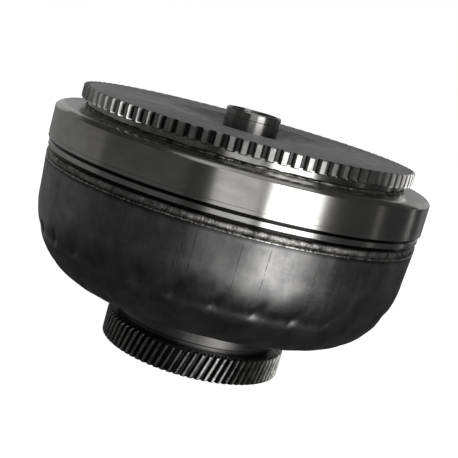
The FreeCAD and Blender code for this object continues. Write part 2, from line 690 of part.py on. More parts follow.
def turbine_shell():
    """Pressed half torus with a flat land that the hub's flange is riveted to."""
    body = turned_part("turbine_shell", [
        ("land_bore", "turbine_land"),
        (LAND_INNER_R, "turbine_land", "turbine_arc", -1),
        ("torus_centre", "turbine_plane + turbine_arc", "turbine_arc", -1),
        ("torus_centre + turbine_arc", "turbine_plane"),
        ("torus_centre + turbine_arc + turbine_thickness", "turbine_plane",
         "turbine_arc + turbine_thickness", 1),
        ("torus_centre", "turbine_plane + turbine_arc + turbine_thickness",
         "turbine_arc + turbine_thickness", 1),
        (LAND_OUTER_R, LAND_TOP),
        ("land_bore", LAND_TOP)])
    rivet_holes(body)
    inside = "core_arc - core_thickness"
    turned_part("turbine_core_ring", [
        ("torus_centre - core_arc", "turbine_plane"),
        ("torus_centre - core_arc + core_thickness", "turbine_plane", inside, -1),
        ("torus_centre", "turbine_plane + core_arc - core_thickness", inside, -1),
        ("torus_centre + core_arc - core_thickness", "turbine_plane"),
        ("torus_centre + core_arc", "turbine_plane", "core_arc", 1),
        ("torus_centre", "turbine_plane + core_arc", "core_arc", 1)])


def rivet_holes(body):
    """Holes for the turbine rivets."""
    hole = pocket(body, [("rivet_circle", "0", "rivet_radius")], "turbine_land - 1", "20")
    around(body, hole, "rivet_count")


def turbine_hub():
    """Splined hub with a riveted flange and a sleeve that carries the piston and its seal."""
    body = turned_part("turbine_hub", [
        ("input_minor", "turbine_foot"),
        ("land_bore - 0.2", "turbine_foot"),
        ("land_bore - 0.2", LAND_TOP),
        ("flange_radius", LAND_TOP),
        ("flange_radius", FLANGE_TOP),
        ("sleeve_radius", FLANGE_TOP),
        ("sleeve_radius", "seal_low"),
        ("seal_floor", "seal_low"),
        ("seal_floor", "seal_high"),
        ("sleeve_radius", "seal_high"),
        ("sleeve_radius", "sleeve_top"),
        ("sleeve_bore", "sleeve_top"),
        ("sleeve_bore", "input_top"),
        ("input_minor", "input_top")])
    gap = pocket(body, spline_gap("input_minor", "input_major", "input_teeth"), "turbine_foot - 1",
                 "input_top - turbine_foot + 1")
    around(body, gap, "input_teeth")
    rivet_holes(body)
    turned_part("piston_seal_ring", ring("seal_floor + 0.1", "sleeve_radius", "seal_low + 0.1",
                                         "seal_high - 0.1"))


def turbine_rivets():
    """Rivets through the shell's land, the hub's flange and the driven plate."""
    body = new_body("turbine_rivets")
    top = "%s + plate_thickness" % FLANGE_TOP
    rivet = spin_about(body, [
        ("rivet_circle", "turbine_land - 1.6"),
        ("rivet_circle + rivet_head - 0.8", "turbine_land - 1.6"),
        ("rivet_circle + rivet_head", "turbine_land"),
        ("rivet_circle + rivet_radius", "turbine_land"),
        ("rivet_circle + rivet_radius", top),
        ("rivet_circle + rivet_head", top),
        ("rivet_circle + rivet_head - 0.8", "%s + 1.6" % top),
        ("rivet_circle", "%s + 1.6" % top)], "rivet_circle")
    around(body, rivet, "rivet_count")


def driven_plate():
    """Dished plate riveted to the turbine hub, with a bent tab between each pair of springs."""
    body = turned_part("damper_driven_plate", [
        ("sleeve_radius + 0.2", FLANGE_TOP),
        ("flange_radius", FLANGE_TOP),
        ("flange_radius + 16", "plate_level"),
        ("spring_circle - 12", "plate_level"),
        ("spring_circle - 12", "plate_level + plate_thickness"),
        ("flange_radius + 15", "plate_level + plate_thickness"),
        ("flange_radius - 1", "%s + plate_thickness" % FLANGE_TOP),
        ("sleeve_radius + 0.2", "%s + plate_thickness" % FLANGE_TOP)])
    rivet_holes(body)
    foot = pad(body, block("spring_circle - 13", "spring_circle + 2.8", "6"), "plate_level", "plate_thickness")
    around(body, foot, "spring_count")
    tab = pad(body, block("spring_circle - 2.8", "spring_circle + 2.8", "6"), "plate_level", "13.1")
    around(body, tab, "spring_count")


# ---- lock-up clutch ----

def lockup_clutch():
    """Piston, friction lining with oil grooves, damper retainer and its rivets."""
    bore = "sleeve_radius + piston_clearance"
    back = "piston_face - piston_thickness"
    piston = turned_part("lockup_piston", [
        (bore, "piston_face - 10.5"),
        ("sleeve_radius + 4", "piston_face - 10.5"),
        ("sleeve_radius + 4", back),
        ("piston_rim - 3.5", back),
        ("piston_rim - 3.5", "piston_face - 12.5"),
        ("piston_rim", "piston_face - 12.5"),
        ("piston_rim", "piston_face - 1.5"),
        ("piston_rim - 1.5", "piston_face"),
        (bore, "piston_face")])
    hole = pocket(piston, [("retainer_circle", "0", "2.5")], "%s - 1" % back, "piston_thickness + 2")
    around(piston, hole, "rivet_count")
    lining = turned_part("friction_lining", ring("lining_inner", "lining_outer", "piston_face",
                                                 "piston_face + lining_thickness"))
    groove = pocket(lining, block("lining_inner - 2", "lining_outer + 2", "0.8"), "piston_face + 1",
                    "lining_thickness")
    around(lining, groove, "rivet_count")
    retainer()
    rivets = new_body("retainer_rivets")
    rivet = spin_about(rivets, [
        ("retainer_circle", "retainer_low - 1.5"),
        ("retainer_circle + 3.2", "retainer_low - 1.5"),
        ("retainer_circle + 3.8", "retainer_low"),
        ("retainer_circle + 2.5", "retainer_low"),
        ("retainer_circle + 2.5", "piston_face"),
        ("retainer_circle", "piston_face")], "retainer_circle")
    around(rivets, rivet, "rivet_count")


def retainer():
    """Ring riveted under the piston; arms with two prongs each stand at both ends of a spring."""
    height = "piston_face - piston_thickness - retainer_low"
    body = turned_part("damper_retainer", ring("retainer_bore", "retainer_circle + 6", "retainer_low",
                                               "piston_face - piston_thickness"))
    hole = pocket(body, [("retainer_circle", "0", "2.5")], "retainer_low - 1", "5")
    around(body, hole, "rivet_count")
    spring_half = "spring_length / 2"
    for side in (1, -1):
        # the springs lie half a pitch from the X axis, so the arms are drawn turned by it
        turn = "180 / spring_count"
        near, far = "%s + 0.6" % spring_half, "%s + 3.6" % spring_half
        arm = turned_block(body, "retainer_circle", "spring_circle + 8.5", near, far, side, turn,
                           "retainer_low", height)
        around(body, arm, "spring_count")
        for inner, outer in (("spring_circle - 7", "spring_circle - 3.6"),
                             ("spring_circle + 4.4", "spring_circle + 8.5")):
            prong = turned_block(body, inner, outer, near, far, side, turn, "retainer_low - 9", "9")
            around(body, prong, "spring_count")


def turned_block(body, near, far, low_side, high_side, side, turn, level, height):
    """A padded rectangle given along and across the radius, turned about the axis."""
    corners = []
    for along, across in ((near, low_side), (far, low_side), (far, high_side), (near, high_side)):
        across = "%d * (%s)" % (side, across)
        corners.append(("(%s) * cos(%s) - (%s) * sin(%s)" % (along, turn, across, turn),
                        "(%s) * sin(%s) + (%s) * cos(%s)" % (along, turn, across, turn)))
    if side < 0:
        corners.reverse()
    return pad(body, corners, level, height)


def damper_springs():
    """Straight coil springs, tangent to their circle, half a pitch from the driven plate's tabs."""
    length, coil, wire = amount("spring_length"), amount("coil_radius"), amount("wire_radius")
    turns = 8
    pitch = (length - 2 * wire) / turns
    helix = Part.makeHelix(pitch, pitch * turns, coil)
    section = Part.Wire(Part.makeCircle(wire, Vector(coil, 0, 0), Vector(0, 1, 0)))
    spring = Part.Wire(helix.Edges).makePipeShell([section], True, True)
    spring.translate(Vector(0, 0, -pitch * turns / 2))
    spring.rotate(Vector(0, 0, 0), Vector(1, 0, 0), 90)
    spring.translate(Vector(amount("spring_circle"), 0, amount("spring_height")))
    count = int(amount("spring_count"))
    springs = []
    for index in range(count):
        turned = spring.copy()
        turned.rotate(Vector(0, 0, 0), Vector(0, 0, 1), 360 * (index + 0.5) / count)
        springs.append(turned)
    feature = doc.addObject("Part::Feature", "damper_springs")
    feature.Shape = Part.makeCompound(springs)
    feature.Placement = Placement()
    keep(feature)


# ---- stator and one-way clutch ----

def stator_wheel():
    """Cast wheel: hub with two snap ring grooves, thirteen blades and a shroud."""
    lower = "%s - snap_thickness" % LOWER_PLATE_LOW
    upper = "%s + snap_thickness" % UPPER_PLATE_TOP
    body = turned_part("stator_wheel", [
        ("outer_race", "wheel_low"),
        ("wheel_hub", "wheel_low"),
        ("wheel_hub", "wheel_high"),
        ("outer_race", "wheel_high"),
        ("outer_race", upper),
        ("outer_race + snap_depth", upper),
        ("outer_race + snap_depth", UPPER_PLATE_TOP),
        ("outer_race", UPPER_PLATE_TOP),
        ("outer_race", LOWER_PLATE_LOW),
        ("outer_race + snap_depth", LOWER_PLATE_LOW),
        ("outer_race + snap_depth", lower),
        ("outer_race", lower)])
    revolve(body, ring("shroud_radius", "shroud_radius + shroud_thickness", "shroud_low", "shroud_high"))
    # blade section in the plane across the radius: blunt nose above, thin tail below
    blade = pad(body, [
        ("-4.5", "shroud_high - 3", "26", -1),
        ("9.3", "shroud_low + 2"),
        ("9.9", "shroud_low + 2.4", "42", 1),
        ("0.5", "shroud_high - 3", "2.7", 1)], "wheel_hub - 1", "shroud_radius - wheel_hub + 2", "YZ_Plane")
    around(body, blade, "stator_blades")


def one_way_clutch():
    """Races, rollers and leaf springs between two side plates held by snap rings."""
    height = "race_high - race_low"
    inner = turned_part("stator_inner_race", ring("stator_minor", "inner_race", "race_low", "race_high"))
    gap = pocket(inner, spline_gap("stator_minor", "stator_major", "stator_teeth"), "race_low - 1",
                 "%s + 2" % height)
    around(inner, gap, "stator_teeth")
    outer = turned_part("stator_outer_race", ring("finger_radius", "outer_race", "race_low", "race_high"))
    room = pocket(outer, [("finger_radius - 3", "-7.2"), ("pocket_radius", "-7.2"),
                          ("pocket_radius", "5.6"), ("finger_radius - 3", "5.6")], "race_low - 1",
                  "%s + 2" % height)
    around(outer, room, "roller_count")
    rollers = new_body("clutch_rollers")
    roller = pad(rollers, [("roller_circle", "1.4", "roller_radius")], "roller_low",
                 "roller_high - roller_low")
    around(rollers, roller, "roller_count")
    springs = new_body("clutch_leaf_springs")
    # a strip folded three times: each fold has a blunt outer and a sharp inner corner
    front = [("32.2", "-7.05"), ("37.7", "-6.1"), ("33.3", "-5.0"), ("37.5", "-3.9"), ("34.1", "-2.85")]
    back = [("34.1", "-3.15"), ("36.3", "-3.9"), ("32.1", "-5.0"), ("36.5", "-6.1"), ("32.2", "-6.75")]
    leaf = pad(springs, front + back, "roller_low + 2", "roller_high - roller_low - 4")
    around(springs, leaf, "roller_count")
    for name, low, high in (("lower_side_plate", LOWER_PLATE_LOW, LOWER_PLATE_TOP),
                            ("upper_side_plate", UPPER_PLATE_LOW, UPPER_PLATE_TOP)):
        turned_part(name, ring("side_plate_bore", "outer_race - 0.1", low, high))
    for name, low in (("lower_snap_ring", "%s - snap_thickness" % LOWER_PLATE_LOW),
                      ("upper_snap_ring", UPPER_PLATE_TOP)):
        snap = new_body(name)
        revolve(snap, ring("outer_race - 1.4", "outer_race + snap_depth - 0.1", "%s + 0.1" % low,
                           "%s + snap_thickness - 0.1" % low), 335.0)


# ---- needle thrust bearings ----

def thrust_bearing(name, inner, outer, face):
    """A flat cage with needles lying along the radius, above the given lower face."""
    level = "%s + needle_gap + needle_radius" % face
    cage = turned_part(name + "_cage", ring(inner, outer, "%s - 1" % level, "%s + 1" % level))
    slot = pocket(cage, block("%s + 1" % inner, "%s - 1" % outer, "needle_radius + 0.1"),
                  "%s - 2" % level, "4")
    around(cage, slot, "needle_count")
    needles = new_body(name + "_needles")
    needle = revolve(needles, ring("%s + 1.2" % inner, "%s - 1.2" % outer, level,
                                   "%s + needle_radius" % level), 360.0, level)
    around(needles, needle, "needle_count")


def check_and_write():
    """Stop at any failed object or empty shape, then write each sub-part."""
    doc.recompute()
    for item in doc.Objects:
        if "Invalid" in item.State or "Error" in item.State:
            raise RuntimeError("failed object: %s" % item.Name)
    for subpart in SUBPARTS:
        if subpart.Shape.isNull() or not subpart.Shape.isValid():
            raise RuntimeError("bad shape: %s" % subpart.Name)
    os.makedirs("parts", exist_ok=True)
    for subpart in SUBPARTS:
        subpart.Shape.exportStep("parts/%s.step" % subpart.Label)
        print("%-24s %2d solids %12.1f mm3" % (subpart.Label, len(subpart.Shape.Solids), subpart.Shape.Volume))


drive_disc()
housing_rings()
impeller_hub()
gear_screws()
pump_gear()
impeller_blades()
turbine_shell()
turbine_blades()
turbine_hub()
turbine_rivets()
driven_plate()
lockup_clutch()
damper_springs()
stator_wheel()
one_way_clutch()
thrust_bearing("impeller_bearing", "collar_lip + 0.6", "outer_race - 3", "collar_top")
thrust_bearing("turbine_bearing", "land_bore - 13.5", "land_bore - 0.5", UPPER_PLATE_TOP)
thrust_bearing("cover_bearing", "sleeve_bore + 0.6", "sleeve_radius - 0.6", "sleeve_top")
check_and_write()
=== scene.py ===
"""The looks of a welded torque converter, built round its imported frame.

The toothed disc, cover, pilot, hub and the inner works are the frame's own solids and get their
finishes here. The pressed bowl, the helical gear and the three welds are new surfaces: the bowl
carries the dents of its blade tabs and the marks of its die, the welds their ripples.
Lengths are in metres, +Z is the converter's axis, and its near side faces -Y.
"""
import math
from collections import namedtuple

import bpy
import numpy as np
from mathutils import Matrix, Vector


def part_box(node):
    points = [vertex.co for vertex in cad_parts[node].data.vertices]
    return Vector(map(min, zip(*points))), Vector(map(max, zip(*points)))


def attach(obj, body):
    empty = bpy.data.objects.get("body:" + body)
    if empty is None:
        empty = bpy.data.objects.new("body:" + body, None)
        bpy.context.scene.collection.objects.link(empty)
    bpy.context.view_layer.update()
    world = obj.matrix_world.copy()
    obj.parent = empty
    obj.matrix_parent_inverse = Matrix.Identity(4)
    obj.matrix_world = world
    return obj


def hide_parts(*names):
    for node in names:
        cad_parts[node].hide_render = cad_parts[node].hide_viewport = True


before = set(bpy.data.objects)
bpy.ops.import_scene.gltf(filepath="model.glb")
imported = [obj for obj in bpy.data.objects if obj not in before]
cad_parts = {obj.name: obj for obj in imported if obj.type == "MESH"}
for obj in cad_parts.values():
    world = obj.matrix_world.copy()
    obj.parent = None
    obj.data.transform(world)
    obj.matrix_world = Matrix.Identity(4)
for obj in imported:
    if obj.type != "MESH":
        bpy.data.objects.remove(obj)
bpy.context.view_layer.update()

MM = 0.001

# ---------------------------------------------------------------- sizes read from the frame
DISC_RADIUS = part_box("toothed_drive_disc")[1].x
DISC_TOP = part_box("toothed_drive_disc")[1].z
HUB_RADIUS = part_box("impeller_hub")[1].x
SEAM_LOW, SEAM_HIGH = (corner.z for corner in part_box("seam_weld_bead"))
SEAM_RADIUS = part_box("seam_weld_bead")[1].x
HUB_WELD_LOW, HUB_WELD_HIGH = (corner.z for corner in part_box("hub_weld_ring"))
BOWL_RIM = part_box("impeller_shell")[1].x
SPIGOT_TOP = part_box("impeller_shell")[1].z
COVER_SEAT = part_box("front_cover")[1].z

# ---------------------------------------------------------------- sizes of the pump drive gear
GEAR_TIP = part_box("pump_drive_gear")[1].x
GEAR_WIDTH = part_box("pump_drive_gear")[1].z
GEAR_ROOT = 71.5 * MM
GEAR_TEETH = 80
GEAR_LAND = 0.13          # half width of a tooth's tip, as a share of the pitch
GEAR_GAP = 0.38           # where its flank reaches the root, as a share of the pitch
GEAR_HELIX = math.radians(16.5)
GEAR_CHAMFER = 1.3 * MM
GEAR_CHAMFER_SLOPE = 1.6  # how far the chamfer's cone draws in per unit of height
GEAR_BULGE = 1.25         # power of the way down the flank
GEAR_BORE = 60.0 * MM
WEB_BORE = 44.0 * MM
WEB_LOW = 9.0 * MM
WEB_TOP = 14.0 * MM

# ---------------------------------------------------------------- sizes of the pressed bowl
WALL_RADIUS = 152.2 * MM
WALL_FOOT = 108.0 * MM
SIDE_ARC = 75.0 * MM
SIDE_TURN = math.radians(38.2)
CORNER_ARC = 42.0 * MM
FLOOR_ARC = 100.0 * MM
BOWL_THICKNESS = 5.0 * MM
RIM_CHAMFER = 0.6 * MM
SPIGOT_RUNOUT = 6.7 * MM  # how far under the seam the spigot's bore meets the bowl's inside
SPIGOT_RADIUS = 147.9 * MM
SPIGOT_BORE = 143.9 * MM
SIDE_CENTRE = (WALL_RADIUS - SIDE_ARC, WALL_FOOT)
CORNER_CENTRE = (SIDE_CENTRE[0] + (SIDE_ARC - CORNER_ARC) * math.cos(SIDE_TURN),
                 SIDE_CENTRE[1] - (SIDE_ARC - CORNER_ARC) * math.sin(SIDE_TURN))
FLOOR_CENTRE = (CORNER_CENTRE[0], CORNER_CENTRE[1] - CORNER_ARC + FLOOR_ARC)
TAB_COUNT = 31
TAB_AZIMUTH = math.radians(3.2)
TAB_ROWS = (
    # radius, height, half length, half width, depth
    (147.0 * MM, 82.0 * MM, 5.8 * MM, 4.4 * MM, 1.3 * MM),
    (129.0 * MM, 56.0 * MM, 6.4 * MM, 4.9 * MM, 1.2 * MM),
)
TAB_LEAN = 0.45           # how far a dent leans over, in half widths per half length
TAB_EDGE = 5.0            # how steeply its one side is cut off
TAB_EDGE_PLACE = 0.35     # how far from its middle, in half widths
TAB_SWELL = 0.3           # height of the swelling above it, as a share of its depth
TAB_SWELL_PLACE = 1.9     # how far above it, in half lengths
TAB_SWELL_WIDTH = 2.0     # how much wider than the dent
TAB_FACET = 0.25          # depth of the flats between the dents, as a share of theirs
TAB_FACET_LENGTH = 2.2    # in half lengths of a dent
VALLEY_PLACE = (146.4 * MM, 79.0 * MM)
VALLEY_DEPTH = 0.75 * MM
VALLEY_HALF_WIDTH = 4.5 * MM
WAVE_HEIGHT = 0.10 * MM
WAVE_FADE = 12.0 * MM     # the wave dies out this far under the seam
SCORE_HALF_WIDTH = 0.26 * MM / WALL_RADIUS
SCORE_AZIMUTHS = (        # in degrees from the near side
    -156.0, -139.0, -98.0, -59.0, -10.0, -9.2, -6.1, 6.0, 13.6, 27.8, 96.0, 131.0, 163.0)

# ---------------------------------------------------------------- sizes of the welds
NECK_RADIUS = 130.9 * MM
SEAM_DEPTH = 5.2 * MM
WELD_STEP = 0.75 * MM     # distance between a bead's sections
WELD_RIPPLE = 0.02        # height of its ripples, as a share of its size
WELD_SECTION = 16         # points round its section

# ---------------------------------------------------------------- where one finish turns into another
# Each is the two heights or the two radii that the change lies between.
HOBBED_HEIGHT = (184.9 * MM, 185.4 * MM)                     # the neck, then the disc's teeth
RIM_RADIUS = (132.9 * MM, 133.5 * MM)                        # the disc's face, then its teeth
LAND_RADIUS = (133.6 * MM, 136.8 * MM)                       # the gaps' floors, then the teeth's lands
DISH_RADIUS = (75.0 * MM, 35.0 * MM)                         # the disc's face, then its dish
SHOULDER_RADIUS = (152.0 * MM, 133.0 * MM)                   # the band's edge, then the cover's shoulder
GROOVE_RADIUS = (153.4 * MM, 152.6 * MM)                     # the ring, then the floors of the grooves
GROOVE_HEIGHT = (150.5 * MM, 149.5 * MM)                     # the band, then the grooves under it
DRAWN_HEIGHT = (92.0 * MM, 110.0 * MM)                       # the bowl's curve, then its drawn wall
HEATED_HEIGHT = (SEAM_LOW - 4.2 * MM, SEAM_LOW - 1.6 * MM)   # the wall, then the weld's heat
LIP_HEIGHT = (SEAM_LOW - 1.2 * MM, SEAM_LOW - 0.8 * MM)      # that, then the painted highlight along the wall's top edge
SCORE_TOP = (129.5 * MM, 127.0 * MM)                         # clean steel, then the scores
SCORE_FOOT = (93.0 * MM, 100.0 * MM)                         # clean steel, then the scores
TIP_RADIUS = (GEAR_ROOT + 0.4 * MM, GEAR_TIP - 0.2 * MM)     # the gear's roots, then its tips


# ---------------------------------------------------------------- surfaces
def arc(centre, radius, first, last, count):
    """Points (r, z) of an arc: its centre plus its radius times (sin a, -cos a)."""
    angle = np.linspace(first, last, count)
    return np.stack([centre[0] + radius * np.sin(angle), centre[1] - radius * np.cos(angle)], axis=1)


def line(start, end, count):
    """Points (r, z) evenly spaced from start to just before end."""
    share = np.linspace(0.0, 1.0, count, endpoint=False)[:, None]
    return np.array(start) + share * (np.array(end) - np.array(start))


def azimuths(count):
    """count angles round the axis, measured from the near side."""
    return np.arange(count) * (2 * math.pi / count)


def turned(radius, azimuth, height):
    """The point at azimuth a is (r sin a, -r cos a, z), for whole grids of r, a and z."""
    return np.stack([radius * np.sin(azimuth), -radius * np.cos(azimuth), height], axis=-1)


def tube_surface(name, points, material, node, smooth=True):
    """A closed surface of a grid of points that joins its first row and column to its last.

    Its faces are turned round if the volume inside them, the sum of the triple products of their
    corners, comes out negative. It rides on the housing and stands for one of the frame's solids.
    """
    rows, columns = points.shape[:2]
    index = np.arange(rows * columns).reshape(rows, columns)
    right = np.roll(index, -1, axis=0)
    faces = np.stack([index, right, np.roll(right, -1, axis=1), np.roll(index, -1, axis=1)], axis=-1)
    faces = faces.reshape(-1, 4)
    flat = points.reshape(-1, 3)
    corner = flat[faces]
    volume = np.einsum("ij,ij->i", corner[:, 0], np.cross(corner[:, 1], corner[:, 2])).sum()
    volume += np.einsum("ij,ij->i", corner[:, 0], np.cross(corner[:, 2], corner[:, 3])).sum()
    if volume < 0:
        faces = faces[:, ::-1]
    mesh = bpy.data.meshes.new(name)
    mesh.vertices.add(len(flat))
    mesh.vertices.foreach_set("co", flat.astype(np.float32).ravel())
    mesh.loops.add(faces.size)
    mesh.loops.foreach_set("vertex_index", faces.astype(np.int32).ravel())
    mesh.polygons.add(len(faces))
    mesh.polygons.foreach_set("loop_start", np.arange(0, faces.size, 4, dtype=np.int32))
    mesh.polygons.foreach_set("use_smooth", np.full(len(faces), smooth))
    mesh.update(calc_edges=True)
    mesh.validate()
    mesh.materials.append(material)
    piece = bpy.data.objects.new(name, mesh)
    bpy.context.scene.collection.objects.link(piece)
    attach(piece, "housing")
    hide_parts(node)
    return piece


def rough_field(rows, columns, row_grain, column_grain, seed):
    """Random heights on a grid that closes round both ways, smoothed to a grain in grid steps.

    White noise is multiplied, frequency by frequency, by a bell curve whose width is one over the
    grain, and the result is scaled to a spread of one.
    """
    noise = np.random.default_rng(seed).standard_normal((rows, columns))
    across = np.fft.fftfreq(rows)[:, None] * row_grain
    along = np.fft.fftfreq(columns)[None, :] * column_grain
    bell = np.exp(-2.0 * (across ** 2 + along ** 2) * math.pi)
    field = np.fft.ifft2(np.fft.fft2(noise) * bell).real
    return field / field.std()


def bowl_outline():
    """The pressed bowl's section as a closed loop (r, z), and how many of its points are outside.

    From the hub outwards: the floor's arc, the corner's arc and the side's arc, each starting
    where the last one ends, then the wall, the step under the weld and the spigot, and the same
    arcs back inside, nearer to their centres by the thickness.
    """
    floor_start = math.asin((HUB_RADIUS - FLOOR_CENTRE[0]) / FLOOR_ARC)
    corner_end = math.pi / 2 - SIDE_TURN
    outside = np.concatenate([
        arc(FLOOR_CENTRE, FLOOR_ARC, floor_start, 0.0, 26)[:-1],
        arc(CORNER_CENTRE, CORNER_ARC, 0.0, corner_end, 36)[:-1],
        arc(SIDE_CENTRE, SIDE_ARC, corner_end, math.pi / 2, 44)[:-1],
        line((WALL_RADIUS, WALL_FOOT), (BOWL_RIM, SEAM_LOW - RIM_CHAMFER), 12),
        line((BOWL_RIM, SEAM_LOW - RIM_CHAMFER), (BOWL_RIM - RIM_CHAMFER, SEAM_LOW), 1),
    ])
    inner_arc = FLOOR_ARC - BOWL_THICKNESS
    inner_start = math.asin((HUB_RADIUS - FLOOR_CENTRE[0]) / inner_arc)
    inside = np.concatenate([
        line((BOWL_RIM - RIM_CHAMFER, SEAM_LOW), (SPIGOT_RADIUS, SEAM_LOW), 2),
        line((SPIGOT_RADIUS, SEAM_LOW), (SPIGOT_RADIUS, SPIGOT_TOP), 2),
        line((SPIGOT_RADIUS, SPIGOT_TOP), (SPIGOT_BORE, SPIGOT_TOP), 1),
        line((SPIGOT_BORE, SPIGOT_TOP),
             (WALL_RADIUS - BOWL_THICKNESS, SEAM_LOW - SPIGOT_RUNOUT), 2),
        arc(SIDE_CENTRE, SIDE_ARC - BOWL_THICKNESS, math.pi / 2, corner_end, 10)[:-1],
        arc(CORNER_CENTRE, CORNER_ARC - BOWL_THICKNESS, corner_end, 0.0, 10)[:-1],
        arc(FLOOR_CENTRE, inner_arc, 0.0, inner_start, 8),
    ])
    return np.concatenate([outside, inside]), len(outside)


def nearest_point(section, place):
    """The index of the section's point that is nearest to a place (r, z)."""
    return np.hypot(section[:, 0] - place[0], section[:, 1] - place[1]).argmin()


def pressed_bowl(material):
    """The bowl's section turned round the axis, with its outside pushed in along its normal.

    Each tab's dent is a wedge: a bell curve of its distance in half widths and half lengths, cut
    off steeply on one side by a tanh, with a low swelling above it, repeated TAB_COUNT times.
    Between the dents the sheet is drawn a little flat, as a squared cosine of the azimuth. A
    shallow valley runs round under the upper row, where the tabs were rolled in, and a slow
    random wave of a tenth of a millimetre is the waviness of pressed sheet.
    """
    section, count = bowl_outline()
    outside = section[:count]
    around = azimuths(620)
    radius, azimuth = np.meshgrid(section[:, 0], around)
    height = np.broadcast_to(section[:, 1], radius.shape).copy()
    slope = np.gradient(outside, axis=0)
    normal = np.stack([slope[:, 1], -slope[:, 0]], axis=1)
    normal /= np.linalg.norm(normal, axis=1)[:, None]
    step = np.linalg.norm(np.diff(outside, axis=0), axis=1)
    travel = np.concatenate([[0.0], np.cumsum(step)])
    push = np.zeros((len(around), count))
    pitch = 2 * math.pi / TAB_COUNT
    off = (azimuth[:, :count] - TAB_AZIMUTH + pitch / 2) % pitch - pitch / 2
    for row_radius, row_height, half_length, half_width, depth in TAB_ROWS:
        middle = travel[nearest_point(outside, (row_radius, row_height))]
        along = (travel - middle) / half_length
        across = off * row_radius / half_width - TAB_LEAN * along
        wedge = 0.5 + 0.5 * np.tanh(TAB_EDGE * (across + TAB_EDGE_PLACE))
        push += depth * wedge * np.exp(-(along ** 2 + across ** 2))
        swelling = np.exp(-(along + TAB_SWELL_PLACE) ** 2 - (across / TAB_SWELL_WIDTH) ** 2)
        push -= TAB_SWELL * depth * swelling
        flat = np.cos(math.pi * off / pitch) ** 2 * np.exp(-(along / TAB_FACET_LENGTH) ** 2)
        push += TAB_FACET * depth * flat
    valley = travel[nearest_point(outside, VALLEY_PLACE)]
    push += VALLEY_DEPTH * np.exp(-((travel - valley) / VALLEY_HALF_WIDTH) ** 2)
    fade = np.clip((SEAM_LOW - outside[:, 1]) / WAVE_FADE, 0, 1)
    push += WAVE_HEIGHT * rough_field(len(around), count, 60, 40, 11) * fade
    radius[:, :count] -= push * normal[:, 0]
    height[:, :count] -= push * normal[:, 1]
    return tube_surface("pressed_bowl", turned(radius, azimuth, height), material,
                        "impeller_shell")


def weld_bead(name, material, node, centre, half_width, half_height, ripple, lump, seed, flatness=1.0):
    """A weld bead: an oval section carried round the axis, roughened along its own radius.

    The section is (half_width cos t, half_height sin t) about the centre (r, z), where a power
    of cos t below one flattens the bead's face. Its size is scaled by one plus a ripple, a wave
    with one crest per ripple length that leans back with t as solidified pools do, plus random
    lumps.
    """
    around = azimuths(int(2 * math.pi * centre[0] / WELD_STEP))
    turn = np.arange(WELD_SECTION) * (2 * math.pi / WELD_SECTION)
    section, azimuth = np.meshgrid(turn, around)
    face = np.sign(np.cos(section)) * np.abs(np.cos(section)) ** flatness
    crests = round(2 * math.pi * centre[0] / ripple)
    wave = np.cos(crests * azimuth + 1.2 * np.cos(section))
    lumps = rough_field(len(around), WELD_SECTION, 3.0, 2.0, seed)
    swell = 1 + WELD_RIPPLE * wave + lump * np.clip(lumps, -2.0, 2.0)
    radius = centre[0] + half_width * face * swell
    height = centre[1] + half_height * np.sin(section) * swell
    return tube_surface(name, turned(radius, azimuth, height), material, node)


def helical_gear(material):
    """The pump drive gear: a section turned round the axis, with teeth cut in its outside.

    Along one pitch the radius is the tip's over the land, the root's over the gap, and falls
    between them as a power of the way down the flank, which bulges it like an involute. The
    azimuth of every point also grows with its height, by the tangent of the helix angle over
    the pitch radius. The ends are chamfered: no point stands further out than the chamfer's cone.
    """
    share = np.array([-0.44, -0.38, -0.33, -0.28, -0.23, -0.18, -0.13, 0.0,
                      0.13, 0.18, 0.23, 0.28, 0.33, 0.38, 0.44])
    down = np.clip((np.abs(share) - GEAR_LAND) / (GEAR_GAP - GEAR_LAND), 0, 1)
    tooth = GEAR_TIP - (GEAR_TIP - GEAR_ROOT) * down ** GEAR_BULGE
    pitch = 2 * math.pi / GEAR_TEETH
    around = (np.arange(GEAR_TEETH)[:, None] * pitch + share * pitch).ravel()
    crest = np.tile(tooth, GEAR_TEETH)
    flank = np.linspace(GEAR_CHAMFER, GEAR_WIDTH - GEAR_CHAMFER, 12)
    face = np.concatenate([[0.0], flank, [GEAR_WIDTH]])
    inside = np.array([
        (GEAR_BORE, GEAR_WIDTH), (GEAR_BORE, WEB_TOP), (WEB_BORE, WEB_TOP), (WEB_BORE, WEB_LOW),
        (GEAR_BORE, WEB_LOW), (GEAR_BORE, 0.0)])
    end_gap = np.minimum(face, GEAR_WIDTH - face)
    cone = GEAR_TIP - GEAR_CHAMFER_SLOPE * np.clip(GEAR_CHAMFER - end_gap, 0, None)
    outside = np.minimum(crest[:, None], cone[None, :])
    bored = np.broadcast_to(inside[:, 0], (len(around), len(inside)))
    radius = np.concatenate([outside, bored], axis=1)
    level = np.concatenate([face, inside[:, 1]])
    twist = level * math.tan(GEAR_HELIX) / ((GEAR_TIP + GEAR_ROOT) / 2)
    azimuth = around[:, None] + twist[None, :]
    height = np.broadcast_to(level, radius.shape)
    return tube_surface("helical_gear", turned(radius, azimuth, height), material,
                        "pump_drive_gear", smooth=False)


# ---------------------------------------------------------------- finishes
# A Mix node of two colours: its settings and output, and the places of its share and its colours.
COLOURS = {"data_type": "RGBA", "out": 2}
SHARE, FIRST, SECOND = 0, 6, 7

# The values that most of a noise lies between, and most of the sum of two.
NOISE = (0.3, 0.7)
NOISE_CORE = (0.35, 0.65)
NOISE_SUM = (0.7, 1.3)
NOISE_SUM_CORE = (0.8, 1.2)

Polar = namedtuple("Polar", "radius height ring")


def srgb(text):
    """A hex colour as linear red, green, blue and alpha."""
    channels = [int(text[place:place + 2], 16) / 255 for place in (1, 3, 5)]
    return [c / 12.92 if c <= 0.04045 else ((c + 0.055) / 1.055) ** 2.4 for c in channels] + [1.0]


